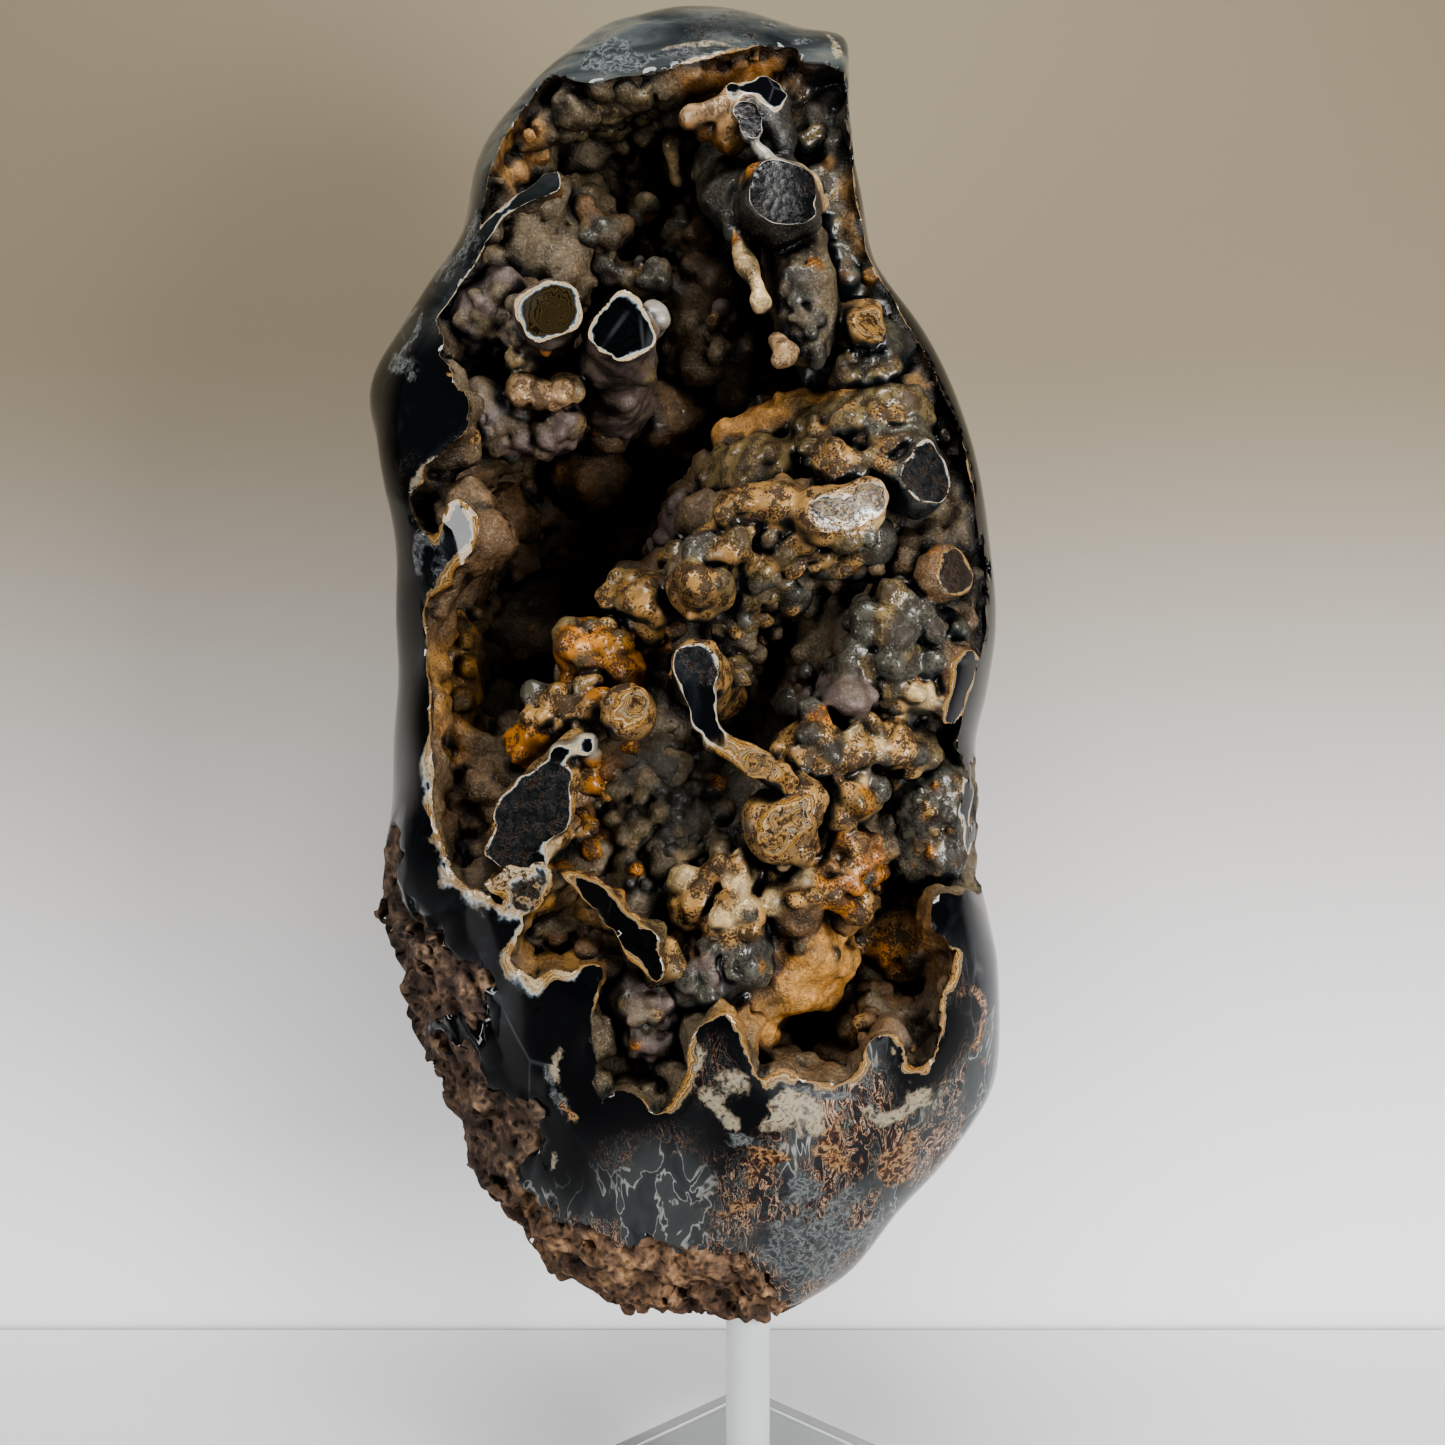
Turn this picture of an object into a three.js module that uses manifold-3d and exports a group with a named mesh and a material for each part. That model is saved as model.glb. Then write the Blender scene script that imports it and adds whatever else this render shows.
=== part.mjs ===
// A hollow agate with a polished outside, set upright on a frosted acrylic rod that stands in a
// clear square plate. The hollow is lined with botryoidal knobs, stalactites and cut tubes.
// Millimetres, +Z up, the open front of the stone towards -Y. The origin is on the underside of
// the plate, on the axis of the rod.
import * as THREE from "three";
import { ConvexGeometry } from "three/addons/geometries/ConvexGeometry.js";
import { mergeVertices } from "three/addons/utils/BufferGeometryUtils.js";
import Module from "manifold-3d";

// Stand
const ROD_DIAMETER = 12;
const ROD_SIDES = 40;
const ROD_IN_STONE = 30;
const ROD_IN_PLATE = 6;
const PLATE_SIDE = 120;
const PLATE_THICKNESS = 10;
const PLATE_CHAMFER = 0.8;
const FIT_GAP = 0.3;

// Stone: its reach in front of and behind the rod's axis, and the squareness of its section
const STONE_BOTTOM = 68;
const STONE_FRONT = 60;
const STONE_BACK = 58;
const STONE_FULLNESS = 2.5;
const STONE_ROUND = 46;
const STONE_DEEP = 16;

// Hollow: depths behind the rod's axis, from before its mouth to the bottom of its bowl
const HOLLOW_MOUTH = -75;
const HOLLOW_RIM_DEPTH = -26;
const HOLLOW_DEPTH = 32;
const HOLLOW_FULLNESS = 2.6;
const HOLLOW_COLUMNS = 34;
const HOLLOW_ROWS = 62;
const RIM_TURNS = 6;

// Knobs: the radii at which their facets change, and where their sides turn into a cone
const SMALL_KNOB = 6;
const LARGE_KNOB = 13;
const CONE_START = 0.92;
const CONE_END = 1.25;
const BALLS_BETWEEN = [0.2, 0.4, 0.6, 0.8];

// The place from which the stone was measured: places below are pixels of a square picture taken
// there, and become millimetres once their depth is known.
const EYE = new THREE.Vector3(-7, -408, 230.6);
const FOCAL_PIXELS = 1480;
const PICTURE_MIDDLE = 722.5;

// Outlines are measured in polar coordinates, in a frame squashed to half its height so that the
// tall stone is nearly round in it.
const SQUASH = 2;
const TURN = 2 * Math.PI;
const FADE_ANGLES = [-0.75, -0.5, -0.25, 0, 0.25, 0.5, 0.75];
const STONE_MIDDLE = [691, 668];
const HOLLOW_CENTRE = [700, 560];
// A close viewpoint sees a round body's edge a little outside its widest section.
const EDGE_SHARE = 0.988;

const STONE_OUTLINE = [
  [690, 26], [745, 26], [800, 37], [843, 44], [849, 80], [850, 120], [851, 165], [861, 212],
  [873, 258], [886, 284], [925, 345], [956, 415], [978, 490], [993, 560], [994, 625], [985, 690],
  [975, 745], [980, 800], [978, 860], [988, 915], [1001, 965], [1005, 1020], [999, 1080],
  [975, 1125], [925, 1185], [870, 1245], [815, 1292], [770, 1311], [720, 1306], [665, 1300],
  [610, 1288], [560, 1261], [525, 1215], [480, 1170], [450, 1110], [416, 1045], [399, 1000],
  [403, 962], [388, 930], [382, 875], [393, 805], [402, 735], [408, 660], [406, 600], [394, 520],
  [380, 450], [380, 395], [402, 340], [440, 278], [467, 225], [486, 165], [512, 122], [556, 78],
  [605, 43], [650, 31],
];

const HOLLOW_OUTLINE = [
  [700, 66], [780, 52], [838, 58], [845, 150], [858, 230], [888, 300], [928, 380], [955, 450],
  [974, 540], [976, 600], [960, 680], [964, 760], [962, 850], [955, 930], [940, 1000],
  [900, 1035], [830, 1078], [748, 1060], [700, 1010], [650, 1088], [600, 1070], [570, 1000],
  [520, 955], [480, 890], [450, 850], [440, 790], [431, 700], [426, 600], [420, 520], [420, 465],
  [425, 400], [432, 330], [458, 268], [492, 200], [514, 142], [560, 100], [620, 80],
];

// What grows in the hollow, as chains of [across, down, depth, radius]. Across and down are
// pixels, depth and radius are millimetres. One point is a knob, and more are a ridge or a stem
// through them. These lumps cover the hollow's back wall.
const WALL_LUMPS = {
  // The solid ground that the knobs stand on
  rightMass: [[900, 470, -4, 22], [880, 560, -8, 24], [880, 650, -12, 25], [870, 750, -12, 27]],
  middleMass: [[790, 480, 2, 18], [735, 545, -2, 19], [690, 640, -6, 20], [640, 720, -10, 22]],
  lowerMass: [[610, 780, -4, 22], [690, 850, -10, 24], [790, 850, -16, 25]],
  lowerLeftMass: [[520, 800, -8, 20], [560, 880, -14, 22], [600, 950, -16, 20]],
  ridgeBody: [[665, 665, -16, 13], [712, 600, -20, 14], [770, 550, -24, 15], [840, 530, -26, 14]],
  dripMass: [[700, 930, -12, 18], [780, 920, -14, 18]],
  footMass: [[620, 1040, -12, 17], [680, 1030, -14, 15], [735, 1010, -10, 13]],
  upperRightMass: [[820, 110, -2, 19], [835, 200, -2, 20], [850, 290, -4, 20], [890, 370, -6, 20]],
  leftMass: [[440, 340, -6, 16], [480, 380, -8, 14], [540, 385, -6, 14], [600, 390, 2, 12]],

  // Upper chamber
  chamberWall: [[590, 140, 34, 18], [610, 240, 30, 16], [660, 320, 30, 18], [745, 375, 26, 14]],
  chamberKnobA: [[690, 165, 8, 9]],
  chamberKnobB: [[644, 210, -4, 7]],
  chamberKnobC: [[600, 235, 6, 9]],
  chamberKnobD: [[647, 285, -8, 7]],
  chamberKnobE: [[745, 375, -10, 7]],
  chamberKnobF: [[590, 130, 6, 10]],
  chamberKnobG: [[560, 245, -2, 8]],
  chamberKnobH: [[718, 318, 2, 7]],

  // Left shelf and left wall
  creamKnobA: [[520, 366, -32, 6]],
  creamKnobB: [[522, 396, -34, 6]],
  creamKnobC: [[562, 390, -36, 7]],
  creamKnobD: [[556, 428, -26, 7]],
  underShelf: [[480, 415, -26, 9], [520, 425, -22, 9]],
  blackPatch: [[425, 400, -28, 13]],
  heart: [[425, 520, -26, 10], [448, 545, -30, 8]],
  orangeSlab: [[450, 650, -16, 8], [450, 730, -20, 8]],
  hollowBulge: [[525, 630, 22, 17]],
  hollowKnobA: [[590, 470, 20, 12]],
  hollowKnobB: [[660, 420, 20, 14]],
  hollowKnobC: [[500, 520, 22, 12]],

  // Ridge across the middle
  darkLump: [[835, 362, -14, 10], [872, 356, -24, 11], [897, 352, -27, 10]],
  smoothMass: [[730, 480, -14, 9], [765, 478, -22, 11]],
  upperMass: [[830, 450, -22, 12], [880, 425, -28, 10], [905, 412, -30, 7]],
  facetEye: [[895, 455, -26, 11], [917, 480, -38, 8]],
  ridgeKnob: [[845, 466, -38, 7]],
  crestLeft: [[712, 565, -42, 8], [742, 516, -44, 8], [778, 508, -46, 7.5]],
  crestRight: [[820, 515, -50, 9], [864, 500, -50, 6]],
  ridgeDropA: [[700, 590, -44, 9]],
  ridgeDropB: [[757, 566, -38, 8]],
  ridgeDropC: [[800, 550, -40, 8]],
  greyBean: [[785, 585, -28, 8]],
  lilacFinger: [[684, 520, -14, 7]],
  chainA: [[641, 600, -32, 9.5]],
  chainC: [[588, 652, -34, 9.5], [620, 674, -36, 8]],
  chainD: [[560, 716, -40, 9.5]],
  chainE: [[598, 712, -44, 8]],
  chainF: [[640, 712, -46, 9.5]],
  chainG: [[535, 745, -36, 8]],

  // Right side
  clusterA: [[880, 628, -38, 10]],
  clusterB: [[916, 626, -36, 8]],
  clusterC: [[896, 658, -38, 9]],
  clusterD: [[920, 696, -38, 8]],
  clusterE: [[852, 690, -34, 10]],
  clusterF: [[888, 745, -38, 9]],
  clusterG: [[925, 752, -34, 8]],
  clusterH: [[855, 745, -38, 8]],
  clusterI: [[820, 745, -42, 10]],
  clusterJ: [[858, 795, -40, 9]],
  cellRim: [[945, 575, -28, 8]],
  lumpyBall: [[938, 810, -26, 13], [942, 845, -25, 13]],

  // Lower cluster
  cutLump: [[775, 828, -50, 9.5], [804, 806, -50, 8]],
  dropA: [[735, 872, -46, 7.5]],
  dropB: [[700, 905, -42, 9]],
  dropC: [[738, 918, -50, 10]],
  dropD: [[794, 902, -50, 10]],
  dropE: [[835, 880, -42, 8]],
  dropF: [[832, 838, -42, 8.5]],
  dropG: [[858, 905, -38, 7]],
  blueDrape: [[735, 955, -44, 11], [700, 985, -44, 9]],
  druseA: [[662, 792, -24, 9]],
  druseB: [[690, 818, -24, 9]],
  druseC: [[640, 830, -28, 9]],
  druseD: [[668, 862, -30, 9]],
  druseE: [[636, 895, -32, 10]],

  // Lower left
  starEye: [[520, 885, -52, 9], [548, 890, -54, 10]],
  greyDrape: [[640, 1000, -42, 9], [660, 1050, -36, 9]],
  pocketRidge: [[850, 975, -8, 10], [905, 1035, -18, 9]],
};

// These stand clear of the wall, with open space behind them.
const FREE_GROWTHS = {
  topHorn: [[690, 126, -24, 4], [722, 106, -35, 4.4], [756, 96, -39, 6], [784, 112, -37, 7]],
  hornHood: [[784, 112, -37, 7], [790, 150, -28, 8], [830, 190, -10, 12]],
  neck: [[752, 122, -43, 3], [764, 150, -42, 2.8], [784, 168, -44, 3.2], [806, 188, -42, 5]],
  blackStalactite: [[750, 180, 0, 12], [765, 200, -26, 10.5], [781, 212, -38, 10]],
  greySausage: [[830, 210, -12, 10], [822, 262, -24, 9], [822, 310, -26, 9], [804, 340, -26, 8]],
  paleFinger: [[735, 195, -16, 5], [748, 240, -32, 3.8], [762, 300, -36, 3.2], [787, 350, -34, 4]],
  crest: [[553, 186, -38, 2.4], [520, 208, -34, 5], [488, 246, -29, 7], [452, 300, -22, 10]],
  leftTube: [[520, 360, -8, 12], [551, 309, -54, 7.4]],
  rightTube: [[610, 395, 2, 13], [621, 338, -54, 9]],
  tubeSideKnob: [[615, 350, -26, 7], [651, 312, -40, 4.8]],
  orangeLedge: [[735, 440, -4, 6], [785, 418, -12, 5], [850, 408, -20, 5]],
  darkLumpTip: [[866, 345, -20, 8], [862, 324, -30, 5]],
  middleEye: [[715, 690, -20, 9], [692, 680, -56, 6], [702, 645, -56, 7]],
  eyeTail: [[692, 690, -54, 4.4], [716, 728, -52, 3.4], [748, 752, -51, 3.6], [796, 796, -50, 5]],
  bigEye: [[540, 830, -26, 10], [514, 846, -54, 6], [534, 812, -56, 8.6], [574, 750, -54, 5.4]],
  bar: [[600, 900, -30, 10], [575, 882, -54, 5], [664, 980, -54, 5]],
};

// Roughness of the unpolished crust: ripples of these wavelengths and heights.
const CRUST_RIPPLES = [[23, 1.4], [11, 0.9], [6.1, 0.5]];
const CRUST_SINK = 0.6;
const CRUST_REACH = 30;
const CRUST_EDGE = [
  [382, 880], [420, 1040], [480, 1170], [560, 1255], [660, 1300], [760, 1310],
];

const wasm = await Module();
wasm.setup();

// A place seen at these pixels from the eye, at this depth behind the rod's axis.
function seen(across, down, depth) {
  const perPixel = (depth - EYE.y) / FOCAL_PIXELS;
  return new THREE.Vector3(
    EYE.x + (across - PICTURE_MIDDLE) * perPixel,
    depth,
    EYE.z - (down - PICTURE_MIDDLE) * perPixel,
  );
}

function bareOf(geometry) {
  const bare = geometry.clone();
  bare.deleteAttribute("normal");
  bare.deleteAttribute("uv");
  return bare;
}

// A closed three.js geometry as a solid that can be joined and cut.
function solid(geometry) {
  const merged = mergeVertices(bareOf(geometry), 1e-4);
  return new wasm.Manifold(
    new wasm.Mesh({
      numProp: 3,
      vertProperties: merged.attributes.position.array,
      triVerts: new Uint32Array(merged.index.array),
    }),
  );
}

// The solid's surface as a three.js geometry with flat faces.
function geometryOf(made) {
  const mesh = made.getMesh();
  const geometry = new THREE.BufferGeometry();
  geometry.setAttribute("position", new THREE.BufferAttribute(mesh.vertProperties, mesh.numProp));
  geometry.setIndex(new THREE.BufferAttribute(mesh.triVerts, 1));
  const flat = geometry.toNonIndexed();
  flat.computeVertexNormals();
  return flat;
}

// The same angle between minus and plus half a turn.
function wrapped(angle) {
  return THREE.MathUtils.euclideanModulo(angle + TURN / 2, TURN) - TURN / 2;
}

// An outline's radius as a function of the angle round its centre, in the squashed frame.
function polarOutline(places, centre) {
  const points = places.map((place) =>
    new THREE.Vector3(place.x - centre.x, (place.z - centre.z) / SQUASH, 0));
  const samples = new THREE.CatmullRomCurve3(points, true, "catmullrom")
    .getPoints(places.length * 8)
    .map((p) => ({ angle: Math.atan2(p.y, p.x), radius: Math.hypot(p.x, p.y) }))
    .sort((a, b) => a.angle - b.angle);
  const radius = (angle) => {
    const after = samples.findIndex((s) => s.angle >= angle);
    const b = samples[after < 0 ? 0 : after];
    const a = samples[(after <= 0 ? samples.length : after) - 1];
    const span = (b.angle - a.angle + TURN) % TURN;
    const along = span > 0 ? ((angle - a.angle + TURN) % TURN) / span : 0;
    return a.radius + (b.radius - a.radius) * along;
  };
  return { centre, radius };
}

// A body whose outline from the front is given, and whose section from the outline to the front
// and back is a superellipse: (distance / radius)^fullness + (depth / reach)^fullness = 1.
// The outline's corners fade out with depth, into its mean over a quarter turn.
function roundedBody(outline) {
  const sphere = new THREE.SphereGeometry(1, STONE_ROUND, STONE_DEEP);
  const place = sphere.attributes.position;
  const power = 2 / STONE_FULLNESS;
  const softened = (angle) => FADE_ANGLES
    .map((turn) => outline.radius(wrapped(angle + turn)))
    .reduce((sum, radius) => sum + radius / FADE_ANGLES.length, 0);
  for (let i = 0; i < place.count; i++) {
    const [x, y, z] = [place.getX(i), place.getY(i), place.getZ(i)];
    const angle = Math.atan2(z, x);
    const radius = THREE.MathUtils.lerp(
      outline.radius(angle), softened(angle), THREE.MathUtils.smoothstep(Math.abs(y), 0.1, 0.8));
    const reach = Math.hypot(x, z) ** power * radius;
    const depth = Math.sign(y) * Math.abs(y) ** power * (y < 0 ? STONE_FRONT : STONE_BACK);
    place.setXYZ(
      i,
      outline.centre.x + reach * Math.cos(angle),
      depth,
      outline.centre.z + reach * Math.sin(angle) * SQUASH,
    );
  }
  return sphere;
}

// The place on the stone's rounded front that is seen at these pixels: its depth follows from how
// far out it is seen, and the other way round, so the two are worked out in turns.
function onFront(outer, across, down) {
  let place = seen(across, down, HOLLOW_RIM_DEPTH);
  for (let turn = 0; turn < RIM_TURNS; turn++) {
    const [x, z] = [place.x - outer.centre.x, (place.z - outer.centre.z) / SQUASH];
    const share = Math.min(1, Math.hypot(x, z) / outer.radius(Math.atan2(z, x)));
    const front = (1 - share ** STONE_FULLNESS) ** (1 / STONE_FULLNESS);
    place = seen(across, down, -STONE_FRONT * front);
  }
  return place;
}

// Moves the vertices near the unpolished crust in and out, by sums of sines.
function roughenCrust(geometry, centre) {
  const place = geometry.attributes.position;
  const edge = new THREE.CatmullRomCurve3(
    CRUST_EDGE.map(([across, down]) => seen(across, down, 0)),
  ).getPoints(60);
  for (let i = 0; i < place.count; i++) {
    const p = new THREE.Vector3().fromBufferAttribute(place, i);
    const away = Math.min(...edge.map((q) => q.distanceTo(p)));
    const share = Math.max(0, 1 - away / CRUST_REACH);
    if (share === 0) continue;
    let height = 0;
    for (const [length, tall] of CRUST_RIPPLES) {
      const k = TURN / length;
      height += tall * Math.sin(k * p.x + 1.3) * Math.sin(k * p.y + 0.4) * Math.cos(k * p.z);
    }
    const outward = p.clone().sub(centre).normalize();
    place.setXYZ(i, ...p.addScaledVector(outward, share * (height - CRUST_SINK)));
  }
}

// The corners of a faceted ball, turned by its own size so that no two look alike.
function ballPoints(place, radius) {
  const ball = radius > SMALL_KNOB && radius < LARGE_KNOB
    ? new THREE.DodecahedronGeometry(radius)
    : new THREE.IcosahedronGeometry(radius, radius < LARGE_KNOB ? 0 : 1);
  ball.rotateX(radius).rotateZ(radius * 2).translate(...place);
  const corners = mergeVertices(bareOf(ball), 1e-3).attributes.position;
  return Array.from({ length: corners.count }, (_, i) =>
    new THREE.Vector3().fromBufferAttribute(corners, i));
}

// A stem through several points: each length is the tight skin round the balls at its two ends.
function stem(chain) {
  const balls = chain.map(([across, down, depth, radius]) =>
    ballPoints(seen(across, down, depth), radius));
  return balls.slice(1)
    .map((ball, i) => solid(new ConvexGeometry([...balls[i], ...ball])))
    .reduce((whole, piece) => whole.add(piece));
}

// Balls along a chain, close enough to each other to stand for the ridge through them.
function ballsAlong(chain) {
  const balls = chain.map(([across, down, depth, radius]) =>
    ({ place: seen(across, down, depth), radius }));
  const between = balls.slice(1).flatMap((to, i) => {
    const from = balls[i];
    return BALLS_BETWEEN.map((share) => ({
      place: from.place.clone().lerp(to.place, share),
      radius: THREE.MathUtils.lerp(from.radius, to.radius, share),
    }));
  });
  return [...balls, ...between];
}

// The depth of the lumps' front at a point of the front view: the nearest ball's near side, which
// runs on as a short cone from where it has become steep.
function lumpDepth(balls, x, z) {
  return Math.min(...balls.map(({ place, radius }) => {
    const away = Math.hypot(x - place.x, z - place.z) / radius;
    if (away > CONE_END) return Infinity;
    const round = Math.min(away, CONE_START);
    const steepness = CONE_START / Math.sqrt(1 - CONE_START ** 2);
    return place.y + radius * ((away - round) * steepness - Math.sqrt(1 - round ** 2));
  }));
}

// What was dissolved away: a box whose grid is bent to the hollow's outline, and whose back
// follows a bowl, or the lumps where they stand out of it.
function hollowBody(outline, balls) {
  const box = new THREE.BoxGeometry(2, 2, 2, HOLLOW_COLUMNS, 1, HOLLOW_ROWS);
  const place = box.attributes.position;
  for (let i = 0; i < place.count; i++) {
    const [u, y, v] = [place.getX(i), place.getY(i), place.getZ(i)];
    const across = u * Math.sqrt(1 - (v * v) / 2);
    const up = v * Math.sqrt(1 - (u * u) / 2);
    const share = Math.min(1, Math.hypot(across, up));
    const angle = Math.atan2(up, across);
    const x = outline.centre.x + share * outline.radius(angle) * Math.cos(angle);
    const z = outline.centre.z + share * outline.radius(angle) * Math.sin(angle) * SQUASH;
    const bowl = HOLLOW_RIM_DEPTH
      + (HOLLOW_DEPTH - HOLLOW_RIM_DEPTH) * (1 - share ** HOLLOW_FULLNESS) ** (1 / HOLLOW_FULLNESS);
    const back = Math.min(bowl, lumpDepth(balls, x, z));
    place.setXYZ(i, x, y > 0 ? Math.max(back, HOLLOW_MOUTH + FIT_GAP) : HOLLOW_MOUTH, z);
  }
  return box;
}

function upright(radius, bottom, top) {
  return new THREE.CylinderGeometry(radius, radius, top - bottom, ROD_SIDES)
    .rotateX(Math.PI / 2)
    .translate(0, 0, (bottom + top) / 2);
}

function stone() {
  const middle = seen(...STONE_MIDDLE, 0);
  const widest = STONE_OUTLINE.map(([across, down]) =>
    middle.clone().lerp(seen(across, down, 0), EDGE_SHARE));
  const outer = polarOutline(widest, middle);
  const skin = roundedBody(outer);
  roughenCrust(skin, outer.centre);
  const polished = solid(skin);

  const rim = HOLLOW_OUTLINE.map(([across, down]) => onFront(outer, across, down));
  const inner = polarOutline(rim, seen(...HOLLOW_CENTRE, HOLLOW_RIM_DEPTH));
  const hollow = solid(hollowBody(inner, Object.values(WALL_LUMPS).flatMap(ballsAlong)));
  const free = Object.values(FREE_GROWTHS).map(stem).reduce((whole, piece) => whole.add(piece));
  const socket = solid(upright(ROD_DIAMETER / 2 + FIT_GAP, 0, STONE_BOTTOM + ROD_IN_STONE));
  return polished.subtract(hollow).add(free.intersect(polished)).subtract(socket);
}

function rod() {
  return upright(
    ROD_DIAMETER / 2, PLATE_THICKNESS - ROD_IN_PLATE + FIT_GAP,
    STONE_BOTTOM + ROD_IN_STONE - FIT_GAP);
}

function plate() {
  const half = PLATE_SIDE / 2 - PLATE_CHAMFER;
  const square = new THREE.Shape([
    new THREE.Vector2(-half, -half), new THREE.Vector2(half, -half),
    new THREE.Vector2(half, half), new THREE.Vector2(-half, half),
  ]);
  const slab = new THREE.ExtrudeGeometry(square, {
    depth: PLATE_THICKNESS - 2 * PLATE_CHAMFER,
    bevelThickness: PLATE_CHAMFER,
    bevelSize: PLATE_CHAMFER,
    bevelSegments: 1,
  })
    .translate(0, 0, PLATE_CHAMFER)
    .rotateZ(Math.PI / 4);
  const socket = solid(
    upright(ROD_DIAMETER / 2 + FIT_GAP, PLATE_THICKNESS - ROD_IN_PLATE, PLATE_THICKNESS * 2));
  return geometryOf(solid(slab).subtract(socket));
}

function piece(name, geometry, colour, roughness, extra = {}) {
  const mesh = new THREE.Mesh(
    geometry, new THREE.MeshStandardMaterial({ color: colour, roughness, metalness: 0, ...extra }));
  mesh.name = name;
  return mesh;
}

const specimen = new THREE.Group();
specimen.add(
  piece("agate_stone", geometryOf(stone()), 0x4a3b2e, 0.35),
  piece("acrylic_rod", rod(), 0xdfe6e8, 0.45, { transparent: true, opacity: 0.9 }),
  piece("acrylic_plate", plate(), 0xeef2f2, 0.08, { transparent: true, opacity: 0.35 }),
);

export default specimen;
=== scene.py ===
"""The looks of a hollow agate that stands on a frosted rod in a clear plate.

Shapes are worked out in millimetres, in the model's own frame: +Z up, the open front towards -Y,
the origin under the plate on the rod's axis. Meshes are put into the scene in metres.
"""
import logging
import math
from dataclasses import dataclass, field, replace
from enum import Enum

import bpy
import numpy as np
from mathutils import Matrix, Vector


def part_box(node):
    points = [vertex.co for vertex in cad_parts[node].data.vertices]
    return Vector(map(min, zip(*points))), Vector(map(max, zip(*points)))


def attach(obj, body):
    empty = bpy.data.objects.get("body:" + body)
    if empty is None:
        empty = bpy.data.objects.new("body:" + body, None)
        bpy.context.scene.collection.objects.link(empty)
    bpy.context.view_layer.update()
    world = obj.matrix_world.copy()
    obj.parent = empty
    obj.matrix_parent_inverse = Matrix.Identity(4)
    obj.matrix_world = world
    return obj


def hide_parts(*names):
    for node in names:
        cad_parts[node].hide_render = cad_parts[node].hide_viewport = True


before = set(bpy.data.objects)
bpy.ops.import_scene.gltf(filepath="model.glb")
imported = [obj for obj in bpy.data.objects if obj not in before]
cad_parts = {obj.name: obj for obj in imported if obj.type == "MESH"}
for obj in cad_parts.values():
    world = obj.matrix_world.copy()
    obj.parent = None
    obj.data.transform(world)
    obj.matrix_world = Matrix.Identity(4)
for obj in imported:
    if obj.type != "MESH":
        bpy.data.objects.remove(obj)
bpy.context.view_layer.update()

BODY = "root"
MM = 0.001
FAR = 60.0
log = logging.getLogger("agate")

Colour = tuple[float, float, float]
Spot = tuple[float, float, float, float]

# Stand and stone: the model's driving sizes in millimetres
ROD_DIAMETER = 12.0
PLATE_SIDE = 120.0
PLATE_THICKNESS = 10.0
STONE_FRONT = 60.0
STONE_BACK = 58.0
STONE_FULLNESS = 2.5
HOLLOW_RIM_DEPTH = -26.0
HOLLOW_DEPTH = 32.0
HOLLOW_FULLNESS = 2.6
EDGE_SHARE = 0.988
SQUASH = 2.0
EDGE_DEPTH = 9.0
STONE_MIDDLE = (691, 668)
HOLLOW_CENTRE = (700, 560)

STONE_OUTLINE = [
    (690, 26), (745, 26), (800, 37), (843, 44), (849, 80), (850, 120), (851, 165), (861, 212),
    (873, 258), (886, 284), (925, 345), (956, 415), (978, 490), (993, 560), (994, 625), (985, 690),
    (975, 745), (980, 800), (978, 860), (988, 915), (1001, 965), (1005, 1020), (999, 1080),
    (975, 1125), (925, 1185), (870, 1245), (815, 1292), (770, 1311), (720, 1306), (665, 1300),
    (610, 1288), (560, 1261), (525, 1215), (480, 1170), (450, 1110), (416, 1045), (399, 1000),
    (403, 962), (388, 930), (382, 875), (393, 805), (402, 735), (408, 660), (406, 600), (394, 520),
    (380, 450), (380, 395), (402, 340), (440, 278), (467, 225), (486, 165), (512, 122), (556, 78),
    (605, 43), (650, 31),
]
BOWL_OUTLINE = [
    (700, 66), (780, 52), (838, 58), (845, 150), (858, 230), (888, 300), (928, 380), (955, 450),
    (974, 540), (976, 600), (960, 680), (964, 760), (962, 850), (955, 930), (940, 1000),
    (900, 1035), (830, 1078), (748, 1060), (700, 1010), (650, 1088), (600, 1070), (570, 1000),
    (520, 955), (480, 890), (450, 850), (440, 790), (431, 700), (426, 600), (420, 520), (420, 465),
    (425, 400), (432, 330), (458, 268), (492, 200), (514, 142), (560, 100), (620, 80),
]
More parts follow.
